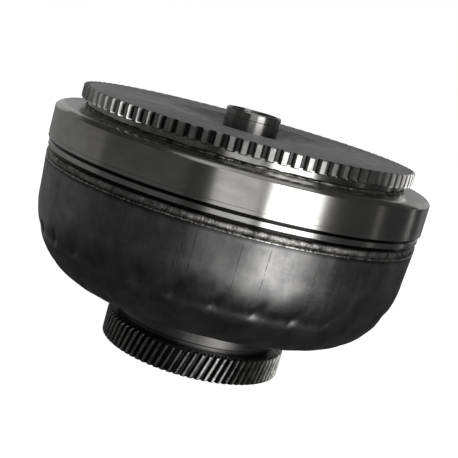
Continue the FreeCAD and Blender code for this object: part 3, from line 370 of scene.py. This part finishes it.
def per_metre(millimetres):
    """The pattern scale that makes one grain this long."""
    return 1000.0 / millimetres


def add(tree, kind, inputs, out=0, **settings):
    """Adds one node and returns its output.

    settings are its properties. inputs are what its sockets take, in order or by name: a number,
    a vector, a hex colour, or the output of another node.
    """
    node = tree.nodes.new("ShaderNode" + kind)
    for name, value in settings.items():
        setattr(node, name, value)
    for socket, source in inputs.items() if isinstance(inputs, dict) else enumerate(inputs):
        if isinstance(source, bpy.types.NodeSocket):
            tree.links.new(source, node.inputs[socket])
        else:
            node.inputs[socket].default_value = srgb(source) if isinstance(source, str) else source
    return node.outputs[out] if node.outputs else None


def start(name):
    """An empty material: itself, its node tree, and the piece's own coordinates."""
    material = bpy.data.materials.new(name)
    material.use_nodes = True
    tree = material.node_tree
    tree.nodes.clear()
    return material, tree, add(tree, "TexCoord", (), out="Object")


def cover_with(tree, metallic, colour, roughness, bumps, anisotropy=0.0, tangent=None):
    """Gives the material its shader. The tangent runs along the tool's marks, and the quarter
    turn makes light stretch across them, as it does on turned metal."""
    inputs = {"Metallic": metallic, "Base Color": colour, "Roughness": roughness, "Normal": bumps,
              "Anisotropic": anisotropy, "Anisotropic Rotation": 0.25}
    if tangent is not None:
        inputs["Tangent"] = tangent
    add(tree, "OutputMaterial", {"Surface": add(tree, "BsdfPrincipled", inputs)})


def polar(tree, place):
    """A point's radius from the axis, its height, and the two as one vector with no angle in it."""
    flat = add(tree, "VectorMath", (place, (1.0, 1.0, 0.0)), operation="MULTIPLY")
    radius = add(tree, "VectorMath", (flat,), out="Value", operation="LENGTH")
    height = add(tree, "SeparateXYZ", (place,), out="Z")
    return Polar(radius, height, add(tree, "CombineXYZ", (radius, height)))


def lathe_grain(tree, place):
    """The way the tool's marks run at each point: round the axis, as a lathe leaves them."""
    round_axis = add(tree, "VectorMath", ((0.0, 0.0, 1.0), place), operation="CROSS_PRODUCT")
    world = add(tree, "VectorTransform", (round_axis,),
                vector_type="VECTOR", convert_from="OBJECT", convert_to="WORLD")
    return add(tree, "VectorMath", (world,), operation="NORMALIZE")


def mottle(tree, place, millimetres, detail=3.0, stretch=(1.0, 1.0, 1.0), roughness=0.55):
    """Cloudy noise with a grain of this many millimetres, drawn out along an axis by a stretch."""
    drawn = add(tree, "Mapping", {"Vector": place, "Scale": stretch})
    return add(tree, "TexNoise", {"Vector": drawn, "Scale": per_metre(millimetres), "Detail": detail,
                                  "Roughness": roughness})


def lathe_steel(name, dark, light, rough, spread, anisotropy=0.75, depth=0.004, stain=18.0):
    """Turned steel: the tool's feed leaves fine rings, so light stretches across them in fans.

    The real feed is about 0.2 mm, too fine to show, so it is drawn 0.9 mm wide.
    """
    material, tree, place = start(name)
    feed_lines = mottle(tree, polar(tree, place).ring, 0.9, 2.0)
    cloud = mottle(tree, place, stain, 4.0)
    wear = add(tree, "Math", (cloud, feed_lines), operation="ADD")
    patch = add(tree, "MapRange", (cloud, *NOISE_CORE))
    colour = add(tree, "Mix", {SHARE: patch, FIRST: dark, SECOND: light}, **COLOURS)
    gloss = add(tree, "MapRange", (wear, *NOISE_SUM, rough - spread, rough + spread))
    bumps = add(tree, "Bump", {"Height": feed_lines, "Distance": depth * MM})
    cover_with(tree, 1.0, colour, gloss, bumps, anisotropy, lathe_grain(tree, place))
    return material


def turned_cover_steel():
    """Mild steel turned bright: it mirrors the studio in clean upright stripes, is a little dull
    in patches where oil has dried, has dark cloudy patches on the shoulder for soot and a painted
    dark reflection, and is painted near black in the grooves under the band as shade.

    The feed of about 0.2 mm is drawn 0.8 mm wide, so that it shows.
    """
    material, tree, place = start("turned_cover_steel")
    at = polar(tree, place)
    feed_lines = mottle(tree, at.ring, 0.8, 3.0)
    cloud = mottle(tree, place, 45.0, 3.0)
    smear = mottle(tree, place, 5.0, 3.0, stretch=(0.3, 0.3, 1.0))
    tone = add(tree, "Math", (smear, 0.4, cloud), operation="MULTIPLY_ADD")
    dried = add(tree, "MapRange", (tone, 0.45, 0.95))
    bright = add(tree, "Mix", {SHARE: dried, FIRST: "#989694", SECOND: "#bbbab7"}, **COLOURS)
    # Dark cloudy patches on the shoulder: soot, and a painted dark reflection under the disc's teeth.
    shoulder = add(tree, "MapRange", (at.radius, *SHOULDER_RADIUS))
    soot_and_reflection_patch = add(tree, "MapRange", (cloud, 0.42, 0.6))
    soot_and_painted_reflection = add(tree, "Math", (shoulder, soot_and_reflection_patch), operation="MULTIPLY")
    worn_and_painted_light = add(tree, "Mix", {SHARE: soot_and_painted_reflection, FIRST: bright, SECOND: "#3b3a39"}, **COLOURS)
    # Painted shade: the floors of the grooves under the band are painted near black.
    deep = add(tree, "MapRange", (at.radius, *GROOVE_RADIUS))
    low = add(tree, "MapRange", (at.height, *GROOVE_HEIGHT))
    painted_groove_shade = add(tree, "Math", (deep, low), operation="MULTIPLY")
    colour = add(tree, "Mix", {SHARE: painted_groove_shade, FIRST: worn_and_painted_light, SECOND: "#1c1b1a"}, **COLOURS)
    gloss = add(tree, "MapRange", (tone, 0.45, 0.95, 0.27, 0.17))
    bumps = add(tree, "Bump", {"Height": feed_lines, "Distance": 0.003 * MM})
    cover_with(tree, 1.0, colour, gloss, bumps, 0.68, lathe_grain(tree, place))
    return material


def turned_disc_steel():
    """Hot-rolled plate, turned and hobbed: a matt mottled face, smoother in the dish and painted
    darker there as a painted dark reflection, with a bright neck and bright cut teeth whose gaps
    are painted dark as oil and painted shade.

    The feed of about 0.2 mm is drawn 0.9 mm wide, so that it shows.
    """
    material, tree, place = start("hobbed_disc_steel")
    at = polar(tree, place)
    feed_lines = mottle(tree, at.ring, 0.9, 3.0)
    cloud = mottle(tree, place, 9.0, 5.0)
    speck = mottle(tree, place, 1.2, 2.0)
    patchy = add(tree, "Math", (speck, 0.5, cloud), operation="MULTIPLY_ADD")
    rolled = add(tree, "MapRange", (patchy, 0.5, 1.0))
    plate = add(tree, "Mix", {SHARE: rolled, FIRST: "#97969a", SECOND: "#b3b2b1"}, **COLOURS)
    # Painted dark reflection: the dish is painted darker than the face.
    dish = add(tree, "MapRange", (at.radius, *DISH_RADIUS))
    dish_painted_dark_reflection = add(tree, "Math", (dish, 0.72), operation="MULTIPLY")
    face = add(tree, "Mix", {SHARE: dish_painted_dark_reflection, FIRST: plate, SECOND: "#3a3a3a"}, **COLOURS)
    patch = add(tree, "MapRange", (cloud, *NOISE_CORE))
    turned_neck = add(tree, "Mix", {SHARE: patch, FIRST: "#8e8d8b", SECOND: "#aaa9a6"}, **COLOURS)
    # Painted shade and oil: the floors of the teeth's gaps are painted dark, the lands bright.
    land = add(tree, "MapRange", (at.radius, *LAND_RADIUS))
    tooth = add(tree, "Mix", {SHARE: land, FIRST: "#383838", SECOND: turned_neck}, **COLOURS)
    hobbed = add(tree, "MapRange", (at.height, *HOBBED_HEIGHT))
    cut = add(tree, "Mix", {SHARE: hobbed, FIRST: turned_neck, SECOND: tooth}, **COLOURS)
    rim = add(tree, "MapRange", (at.radius, *RIM_RADIUS))
    under = add(tree, "Math", (1.0, hobbed), operation="SUBTRACT")
    worked = add(tree, "Math", (rim, under), operation="MAXIMUM")
    colour = add(tree, "Mix", {SHARE: worked, FIRST: face, SECOND: cut}, **COLOURS)
    rolled_gloss = add(tree, "MapRange", (patchy, 0.5, 1.0, 0.50, 0.38))
    face_gloss = add(tree, "Math", (dish, -0.16, rolled_gloss), operation="MULTIPLY_ADD")
    neck_gloss = add(tree, "MapRange", (speck, *NOISE, 0.15, 0.21))
    cut_gloss = add(tree, "Math", (hobbed, 0.2, neck_gloss), operation="MULTIPLY_ADD")
    gloss = add(tree, "Mix", {SHARE: worked, 2: face_gloss, 3: cut_gloss}, data_type="FLOAT")
    bumps = add(tree, "Bump", {"Height": feed_lines, "Distance": 0.004 * MM})
    cover_with(tree, 1.0, colour, gloss, bumps, 0.45, lathe_grain(tree, place))
    return material


def score_lines(tree, place, height):
    """Fine scores down the wall at a few azimuths: one where the azimuth is within a score's
    half width, broken up along its length, and fading out above and below the straight wall."""
    far = add(tree, "SeparateXYZ", (place,), out="Y")
    near = add(tree, "Math", (far, -1.0), operation="MULTIPLY")
    azimuth = add(tree, "Math", (add(tree, "SeparateXYZ", (place,), out="X"), near), operation="ARCTAN2")
    marks = 0.0
    for degrees in SCORE_AZIMUTHS:
        off = add(tree, "Math", (azimuth, math.radians(degrees)), operation="SUBTRACT")
        away = add(tree, "Math", (off,), operation="ABSOLUTE")
        mark = add(tree, "MapRange", (away, 1.6 * SCORE_HALF_WIDTH, 0.4 * SCORE_HALF_WIDTH))
        marks = add(tree, "Math", (marks, mark), operation="MAXIMUM")
    broken = add(tree, "MapRange", (mottle(tree, place, 2.5, 1.0), 0.38, 0.5))
    top = add(tree, "MapRange", (height, *SCORE_TOP))
    foot = add(tree, "MapRange", (height, *SCORE_FOOT))
    pieces = add(tree, "Math", (marks, broken), operation="MULTIPLY")
    wall = add(tree, "Math", (top, foot), operation="MULTIPLY")
    return add(tree, "Math", (pieces, wall), operation="MULTIPLY")


def pressed_bowl_steel():
    """Deep-drawn steel, dark with phosphate and oil: streaks and scores run down the wall where
    it slid over the die, it is darker still where the weld's heat has blued it, and a painted
    highlight, a dotted bright line, runs along the wall's top edge under the weld.

    The die's real scratches are finer than 0.1 mm, so they are drawn 1.5 mm wide.
    """
    material, tree, place = start("drawn_bowl_steel")
    height = polar(tree, place).height
    streak = mottle(tree, place, 1.5, 3.0, stretch=(1.0, 1.0, 0.03))
    broad = mottle(tree, place, 7.0, 2.0, stretch=(1.0, 1.0, 0.12))
    cloud = mottle(tree, place, 16.0, 5.0)
    fine = mottle(tree, place, 1.8, 2.0)
    wall = add(tree, "MapRange", (height, *DRAWN_HEIGHT))
    slid = add(tree, "MapRange", (streak, *NOISE, -0.04, 0.04))
    tone = add(tree, "Math", (slid, wall, cloud), operation="MULTIPLY_ADD")
    patch = add(tree, "MapRange", (tone, 0.25, 0.75))
    oiled = add(tree, "Mix", {SHARE: patch, FIRST: "#5a5a5a", SECOND: "#848382"}, **COLOURS)
    heat = add(tree, "MapRange", (height, *HEATED_HEIGHT, 0.0, 0.8))
    blued = add(tree, "Mix", {SHARE: heat, FIRST: oiled, SECOND: "#1f1e20"}, **COLOURS)
    # Painted highlight: a dotted bright line along the wall's top edge under the weld.
    edge = add(tree, "MapRange", (height, *LIP_HEIGHT))
    lip_highlight_breaks = add(tree, "MapRange", (fine, 0.4, 0.55))
    painted_lip_highlight = add(tree, "Math", (edge, lip_highlight_breaks), operation="MULTIPLY")
    with_painted_lip_highlight = add(tree, "Mix", {SHARE: painted_lip_highlight, FIRST: blued, SECOND: "#c9c8c5"}, **COLOURS)
    scored = score_lines(tree, place, height)
    faint = add(tree, "Math", (scored, 0.65), operation="MULTIPLY")
    colour = add(tree, "Mix", {SHARE: faint, FIRST: with_painted_lip_highlight, SECOND: "#1d1c1c"}, **COLOURS)
    rubbed = add(tree, "Math", (broad, fine), operation="ADD")
    gloss = add(tree, "MapRange", (rubbed, *NOISE_SUM, 0.30, 0.40))
    sunk = add(tree, "Math", (scored, -1.0), operation="MULTIPLY")
    bumps = add(tree, "Bump", {"Height": sunk, "Distance": 0.03 * MM})
    cover_with(tree, 1.0, colour, gloss, bumps)
    return material


def weld_steel(name, dark, light):
    """Weld metal as laid: silvery, grainy and rough, with dark oxide in its hollows."""
    material, tree, place = start(name)
    grain = mottle(tree, place, 0.7, 3.0, roughness=0.7)
    cloud = mottle(tree, place, 6.0, 3.0)
    tone = add(tree, "Math", (grain, cloud), operation="ADD")
    bare = add(tree, "MapRange", (tone, *NOISE_SUM_CORE))
    colour = add(tree, "Mix", {SHARE: bare, FIRST: dark, SECOND: light}, **COLOURS)
    gloss = add(tree, "MapRange", (grain, *NOISE, 0.44, 0.22))
    bumps = add(tree, "Bump", {"Height": grain, "Distance": 0.25 * MM})
    cover_with(tree, 1.0, colour, gloss, bumps)
    return material


def hardened_gear_steel():
    """Case-hardened gear steel: black from oil quenching, with the roots painted darker as shade and the
    tips painted light, for wear and a painted highlight.
    """
    material, tree, place = start("hardened_gear_steel")
    cloud = mottle(tree, place, 5.0, 4.0)
    fine = mottle(tree, place, 0.9, 2.0)
    patch = add(tree, "MapRange", (cloud, *NOISE_CORE))
    # The roots are painted black as shade, and the tips light for wear and a painted highlight.
    black = add(tree, "Mix", {SHARE: patch, FIRST: "#262626", SECOND: "#3d3d3c"}, **COLOURS)
    worn_and_painted_light = add(tree, "Mix", {SHARE: patch, FIRST: "#5d5d5b", SECOND: "#949390"}, **COLOURS)
    tip = add(tree, "MapRange", (polar(tree, place).radius, *TIP_RADIUS))
    colour = add(tree, "Mix", {SHARE: tip, FIRST: black, SECOND: worn_and_painted_light}, **COLOURS)
    gloss = add(tree, "MapRange", (fine, *NOISE, 0.26, 0.44))
    bumps = add(tree, "Bump", {"Height": fine, "Distance": 0.01 * MM})
    cover_with(tree, 1.0, colour, gloss, bumps)
    return material


def blade_sheet_steel():
    """Cold-rolled sheet: satin, with the mill's straight grain, drawn 0.8 mm wide so that it
    shows, and a film of oil."""
    material, tree, place = start("rolled_blade_steel")
    grain = mottle(tree, place, 0.8, 2.0, stretch=(1.0, 1.0, 0.08))
    cloud = mottle(tree, place, 9.0, 4.0)
    patch = add(tree, "MapRange", (cloud, *NOISE))
    colour = add(tree, "Mix", {SHARE: patch, FIRST: "#7c7b79", SECOND: "#a3a19e"}, **COLOURS)
    gloss = add(tree, "MapRange", (grain, *NOISE, 0.3, 0.46))
    bumps = add(tree, "Bump", {"Height": grain, "Distance": 0.008 * MM})
    cover_with(tree, 1.0, colour, gloss, bumps)
    return material


def spring_wire_steel():
    """Oil-tempered spring wire: smooth, blue-black, with lighter rubs."""
    material, tree, place = start("tempered_spring_steel")
    cloud = mottle(tree, place, 3.0, 3.0)
    rub = add(tree, "MapRange", (cloud, 0.4, 0.7))
    colour = add(tree, "Mix", {SHARE: rub, FIRST: "#2f3238", SECOND: "#6e7074"}, **COLOURS)
    gloss = add(tree, "MapRange", (cloud, *NOISE, 0.22, 0.4))
    bumps = add(tree, "Bump", {"Height": cloud, "Distance": 0.01 * MM})
    cover_with(tree, 1.0, colour, gloss, bumps)
    return material


def pressed_lining_paper():
    """Wet friction paper: matt brown fibre, pressed, darkened by oil. Its fibres are drawn
    0.9 mm long, which is coarser than they are."""
    material, tree, place = start("friction_paper")
    fibre = mottle(tree, place, 0.9, 5.0, roughness=0.7)
    cloud = mottle(tree, place, 11.0, 3.0)
    tone = add(tree, "Math", (fibre, cloud), operation="ADD")
    dry = add(tree, "MapRange", (tone, *NOISE_SUM_CORE))
    colour = add(tree, "Mix", {SHARE: dry, FIRST: "#3a2a1d", SECOND: "#6b5138"}, **COLOURS)
    gloss = add(tree, "MapRange", (fibre, *NOISE, 0.7, 0.9))
    bumps = add(tree, "Bump", {"Height": fibre, "Distance": 0.05 * MM})
    cover_with(tree, 0.0, colour, gloss, bumps)
    return material


def cast_aluminium():
    """Permanent-mould cast aluminium: pale and grainy, satin where the mould was smooth."""
    material, tree, place = start("cast_stator_aluminium")
    grain = mottle(tree, place, 0.8, 3.0)
    cloud = mottle(tree, place, 14.0, 4.0)
    patch = add(tree, "MapRange", (cloud, *NOISE))
    colour = add(tree, "Mix", {SHARE: patch, FIRST: "#a8a9aa", SECOND: "#cfd0d0"}, **COLOURS)
    gloss = add(tree, "MapRange", (grain, *NOISE, 0.36, 0.54))
    bumps = add(tree, "Bump", {"Height": grain, "Distance": 0.04 * MM})
    cover_with(tree, 1.0, colour, gloss, bumps)
    return material


def sealing_iron():
    """Grey cast iron ring: dark grey, machined, with an open grain, drawn coarser than it is."""
    material, tree, place = start("seal_ring_iron")
    grain = mottle(tree, place, 0.6, 3.0)
    open_grain = add(tree, "MapRange", (grain, *NOISE_CORE))
    colour = add(tree, "Mix", {SHARE: open_grain, FIRST: "#454544", SECOND: "#6c6b69"}, **COLOURS)
    gloss = add(tree, "MapRange", (grain, *NOISE, 0.34, 0.5))
    bumps = add(tree, "Bump", {"Height": grain, "Distance": 0.01 * MM})
    cover_with(tree, 1.0, colour, gloss, bumps)
    return material


disc_steel = turned_disc_steel()
cover_steel = turned_cover_steel()
bowl_steel = pressed_bowl_steel()
seam_weld = weld_steel("seam_weld_metal", "#383736", "#b5b3af")
oxide_weld = weld_steel("oxidised_weld_metal", "#2e2d2c", "#8c8a86")
gear_steel = hardened_gear_steel()
pilot_steel = lathe_steel("ground_pilot_steel", "#93928f", "#a4a3a1", 0.21, 0.03,
                          anisotropy=0.25, depth=0.002)
hub_steel = lathe_steel("oiled_hub_steel", "#605f5e", "#737271", 0.42, 0.05, anisotropy=0.4)
screw_steel = lathe_steel("blacked_screw_steel", "#232322", "#343433", 0.34, 0.06, anisotropy=0.2)
fine_steel = lathe_steel("fine_turned_steel", "#8f8e8b", "#b3b2af", 0.24, 0.07)
race_steel = lathe_steel("ground_bearing_steel", "#a5a5a4", "#c6c6c5", 0.13, 0.04,
                         anisotropy=0.5, depth=0.001)
plate_steel = lathe_steel("pressed_plate_steel", "#777674", "#979693", 0.34, 0.08,
                          anisotropy=0.1, stain=8.0)
bronze = lathe_steel("sintered_bronze", "#8a6134", "#b98a4e", 0.3, 0.08, anisotropy=0.4, stain=5.0)
cage_steel = lathe_steel("stamped_cage_steel", "#6a6967", "#8b8a87", 0.3, 0.07,
                         anisotropy=0.1, stain=4.0)
blade_steel = blade_sheet_steel()
spring_steel = spring_wire_steel()
lining_paper = pressed_lining_paper()
stator_aluminium = cast_aluminium()
seal_iron = sealing_iron()

FINISHES = (
    (disc_steel, ("toothed_drive_disc",)),
    (cover_steel, ("front_cover",)),
    (pilot_steel, ("crank_pilot",)),
    (bowl_steel, ("impeller_shell",)),
    (seam_weld, ("seam_weld_bead",)),
    (oxide_weld, ("disc_weld_ring", "hub_weld_ring")),
    (hub_steel, ("impeller_hub",)),
    (gear_steel, ("pump_drive_gear",)),
    (screw_steel, ("gear_cap_screws",)),
    (bronze, ("hub_bush", "lower_side_plate", "upper_side_plate")),
    (blade_steel, ("impeller_blades", "turbine_blades", "impeller_core_ring", "turbine_core_ring",
                   "turbine_shell")),
    (fine_steel, ("turbine_hub", "stator_outer_race", "stator_inner_race")),
    (race_steel, ("clutch_rollers", "impeller_bearing_needles", "turbine_bearing_needles",
                  "cover_bearing_needles")),
    (cage_steel, ("impeller_bearing_cage", "turbine_bearing_cage", "cover_bearing_cage")),
    (plate_steel, ("damper_driven_plate", "damper_retainer", "lockup_piston", "turbine_rivets",
                   "retainer_rivets")),
    (spring_steel, ("damper_springs", "clutch_leaf_springs", "lower_snap_ring", "upper_snap_ring")),
    (lining_paper, ("friction_lining",)),
    (stator_aluminium, ("stator_wheel",)),
    (seal_iron, ("piston_seal_ring",)),
)


def dress_nodes():
    """Gives each solid of the frame its finish."""
    for material, names in FINISHES:
        for name in names:
            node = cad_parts[name]
            node.data.materials.clear()
            node.data.materials.append(material)


def lay_welds():
    """The three welds, each round the middle of the ring that stands for it in the frame."""
    seam_middle = (SEAM_LOW + SEAM_HIGH) / 2
    weld_bead("seam_weld", seam_weld, "seam_weld_bead", (SEAM_RADIUS - SEAM_DEPTH, seam_middle),
              half_width=SEAM_DEPTH * 0.98, half_height=(SEAM_HIGH - SEAM_LOW) * 0.52,
              ripple=2.4 * MM, lump=0.012, seed=21, flatness=0.35)
    weld_bead("disc_weld", oxide_weld, "disc_weld_ring", (NECK_RADIUS + 0.1 * MM, COVER_SEAT + 0.1 * MM),
              half_width=1.9 * MM, half_height=1.6 * MM, ripple=3.0 * MM, lump=0.12, seed=22)
    hub_weld_middle = (HUB_WELD_LOW + HUB_WELD_HIGH) / 2
    weld_bead("hub_weld", oxide_weld, "hub_weld_ring", (HUB_RADIUS + 0.1 * MM, hub_weld_middle),
              half_width=2.0 * MM, half_height=1.3 * MM, ripple=2.6 * MM, lump=0.1, seed=23)


dress_nodes()
pressed_bowl(bowl_steel)
helical_gear(gear_steel)
lay_welds()


# ---------------------------------------------------------------- stage, lights and camera
TABLE_WHITE = 0.97        # the table's own glow, so that its far edge doesn't show
TABLE_HALF = 20.0
STUDIO_DIM = 0.055        # what the steel mirrors where no light stands
LIGHT_AIM = Vector((0.0, 0.0, 0.11))
LIGHTS = (
    # name, azimuth and elevation in degrees, distance, width, height, brightness of its face
    ("key_light", 34.0, 3.0, 1.3, 0.68, 1.5, 4.4),
    ("front_fill", 2.0, 0.0, 1.9, 0.84, 1.5, 0.95),
    ("left_front", -52.0, 0.0, 1.5, 1.5, 1.5, 0.05),
    ("left_panel", -122.0, 5.0, 1.5, 2.7, 1.6, 0.17),
    ("top_panel", 20.0, 80.0, 1.6, 1.4, 1.0, 0.65),
    ("back_panel", 180.0, 16.0, 2.0, 3.0, 1.0, 0.28),
    ("back_low", 172.0, -10.0, 1.8, 0.5, 0.7, 3.0),
    ("right_line", 88.0, 5.0, 1.3, 0.05, 0.9, 0.35),
    ("right_strip", 121.0, 5.0, 1.3, 0.08, 0.9, 0.5),
    ("right_back", 146.0, 10.0, 1.3, 0.5, 0.9, 0.12),
)
CAMERA_PITCH = 0.1751     # looking down, in radians
CAMERA_YAW = 0.0062
CAMERA_ROLL = math.radians(15.467)
CAMERA_LENS = 79.93       # focal length in millimetres on a 36 mm sensor
CAMERA_BACK = 6.0157      # in disc radii from the axis
CAMERA_RISE = 0.4364      # in disc radii above the disc's face


def stage_floor():
    """A plain white floor under the gear. Only the camera sees it: the steel mirrors the dim
    studio below it instead, as a part held up in a dark room does."""
    material = bpy.data.materials.new("white_table")
    material.use_nodes = True
    tree = material.node_tree
    tree.nodes.clear()
    seen = add(tree, "LightPath", (), out="Is Camera Ray")
    glow = add(tree, "Emission", {"Color": "#ffffff", "Strength": TABLE_WHITE})
    lit = add(tree, "BsdfDiffuse", {"Color": "#d8d8d8"})
    bright = add(tree, "AddShader", (glow, lit))
    clear = add(tree, "BsdfTransparent", ())
    add(tree, "OutputMaterial", {"Surface": add(tree, "MixShader", (seen, clear, bright))})
    mesh = bpy.data.meshes.new("floor")
    corners = [(-TABLE_HALF, -TABLE_HALF, 0.0), (TABLE_HALF, -TABLE_HALF, 0.0),
               (TABLE_HALF, TABLE_HALF, 0.0), (-TABLE_HALF, TABLE_HALF, 0.0)]
    mesh.from_pydata(corners, [], [(0, 1, 2, 3)])
    mesh.materials.append(material)
    floor = bpy.data.objects.new("floor", mesh)
    bpy.context.scene.collection.objects.link(floor)


def studio_air():
    """White behind the converter, dim grey in its reflections."""
    world = bpy.data.worlds.new("studio")
    bpy.context.scene.world = world
    world.use_nodes = True
    tree = world.node_tree
    tree.nodes.clear()
    seen = add(tree, "LightPath", (), out="Is Camera Ray")
    white = add(tree, "Background", {"Color": "#ffffff", "Strength": 1.0})
    dim = add(tree, "Background", {"Color": "#ffffff", "Strength": STUDIO_DIM})
    add(tree, "OutputWorld", {"Surface": add(tree, "MixShader", (seen, dim, white))})


def softbox(name, azimuth, elevation, distance, width, height, brightness):
    """A rectangular soft light facing the converter; brightness is that of its face."""
    turn, rise = math.radians(azimuth), math.radians(elevation)
    away = Vector((math.sin(turn) * math.cos(rise), -math.cos(turn) * math.cos(rise), math.sin(rise)))
    data = bpy.data.lights.new(name, "AREA")
    data.shape = "RECTANGLE"
    data.size = width
    data.size_y = height
    data.energy = brightness * math.pi * width * height
    light = bpy.data.objects.new(name, data)
    light.location = LIGHT_AIM + away * distance
    light.rotation_mode = "QUATERNION"
    light.rotation_quaternion = (-away).to_track_quat("-Z", "Y")
    light.visible_camera = False
    bpy.context.scene.collection.objects.link(light)


def studio_lights():
    """A tall key light to the right of the camera with a weaker one beside it, dim wide panels
    on the left, one overhead and one behind for the disc's face, and narrow dim ones on the
    right and low behind, which draw upright lines in the turned band."""
    for light in LIGHTS:
        softbox(*light)


def long_lens_camera():
    """The camera: a long lens, ten degrees above, rolled so that the axis leans to the right."""
    forward = Vector((math.sin(CAMERA_YAW) * math.cos(CAMERA_PITCH),
                      math.cos(CAMERA_YAW) * math.cos(CAMERA_PITCH), -math.sin(CAMERA_PITCH)))
    level = Vector((math.cos(CAMERA_YAW), -math.sin(CAMERA_YAW), 0.0))
    upright = level.cross(forward)
    right = level * math.cos(CAMERA_ROLL) + upright * math.sin(CAMERA_ROLL)
    up = upright * math.cos(CAMERA_ROLL) - level * math.sin(CAMERA_ROLL)
    data = bpy.data.cameras.new("camera")
    data.sensor_width = 36.0
    data.lens = CAMERA_LENS
    data.clip_start = 0.05
    data.clip_end = 60.0
    camera = bpy.data.objects.new("camera", data)
    turn = Matrix((right, up, -forward)).transposed().to_4x4()
    spot = Vector((0.0, -CAMERA_BACK * DISC_RADIUS, DISC_TOP + CAMERA_RISE * DISC_RADIUS))
    camera.matrix_world = Matrix.Translation(spot) @ turn
    bpy.context.scene.collection.objects.link(camera)
    bpy.context.scene.camera = camera


stage_floor()
studio_air()
studio_lights()
long_lens_camera()
bpy.context.scene.view_settings.view_transform = "Standard"
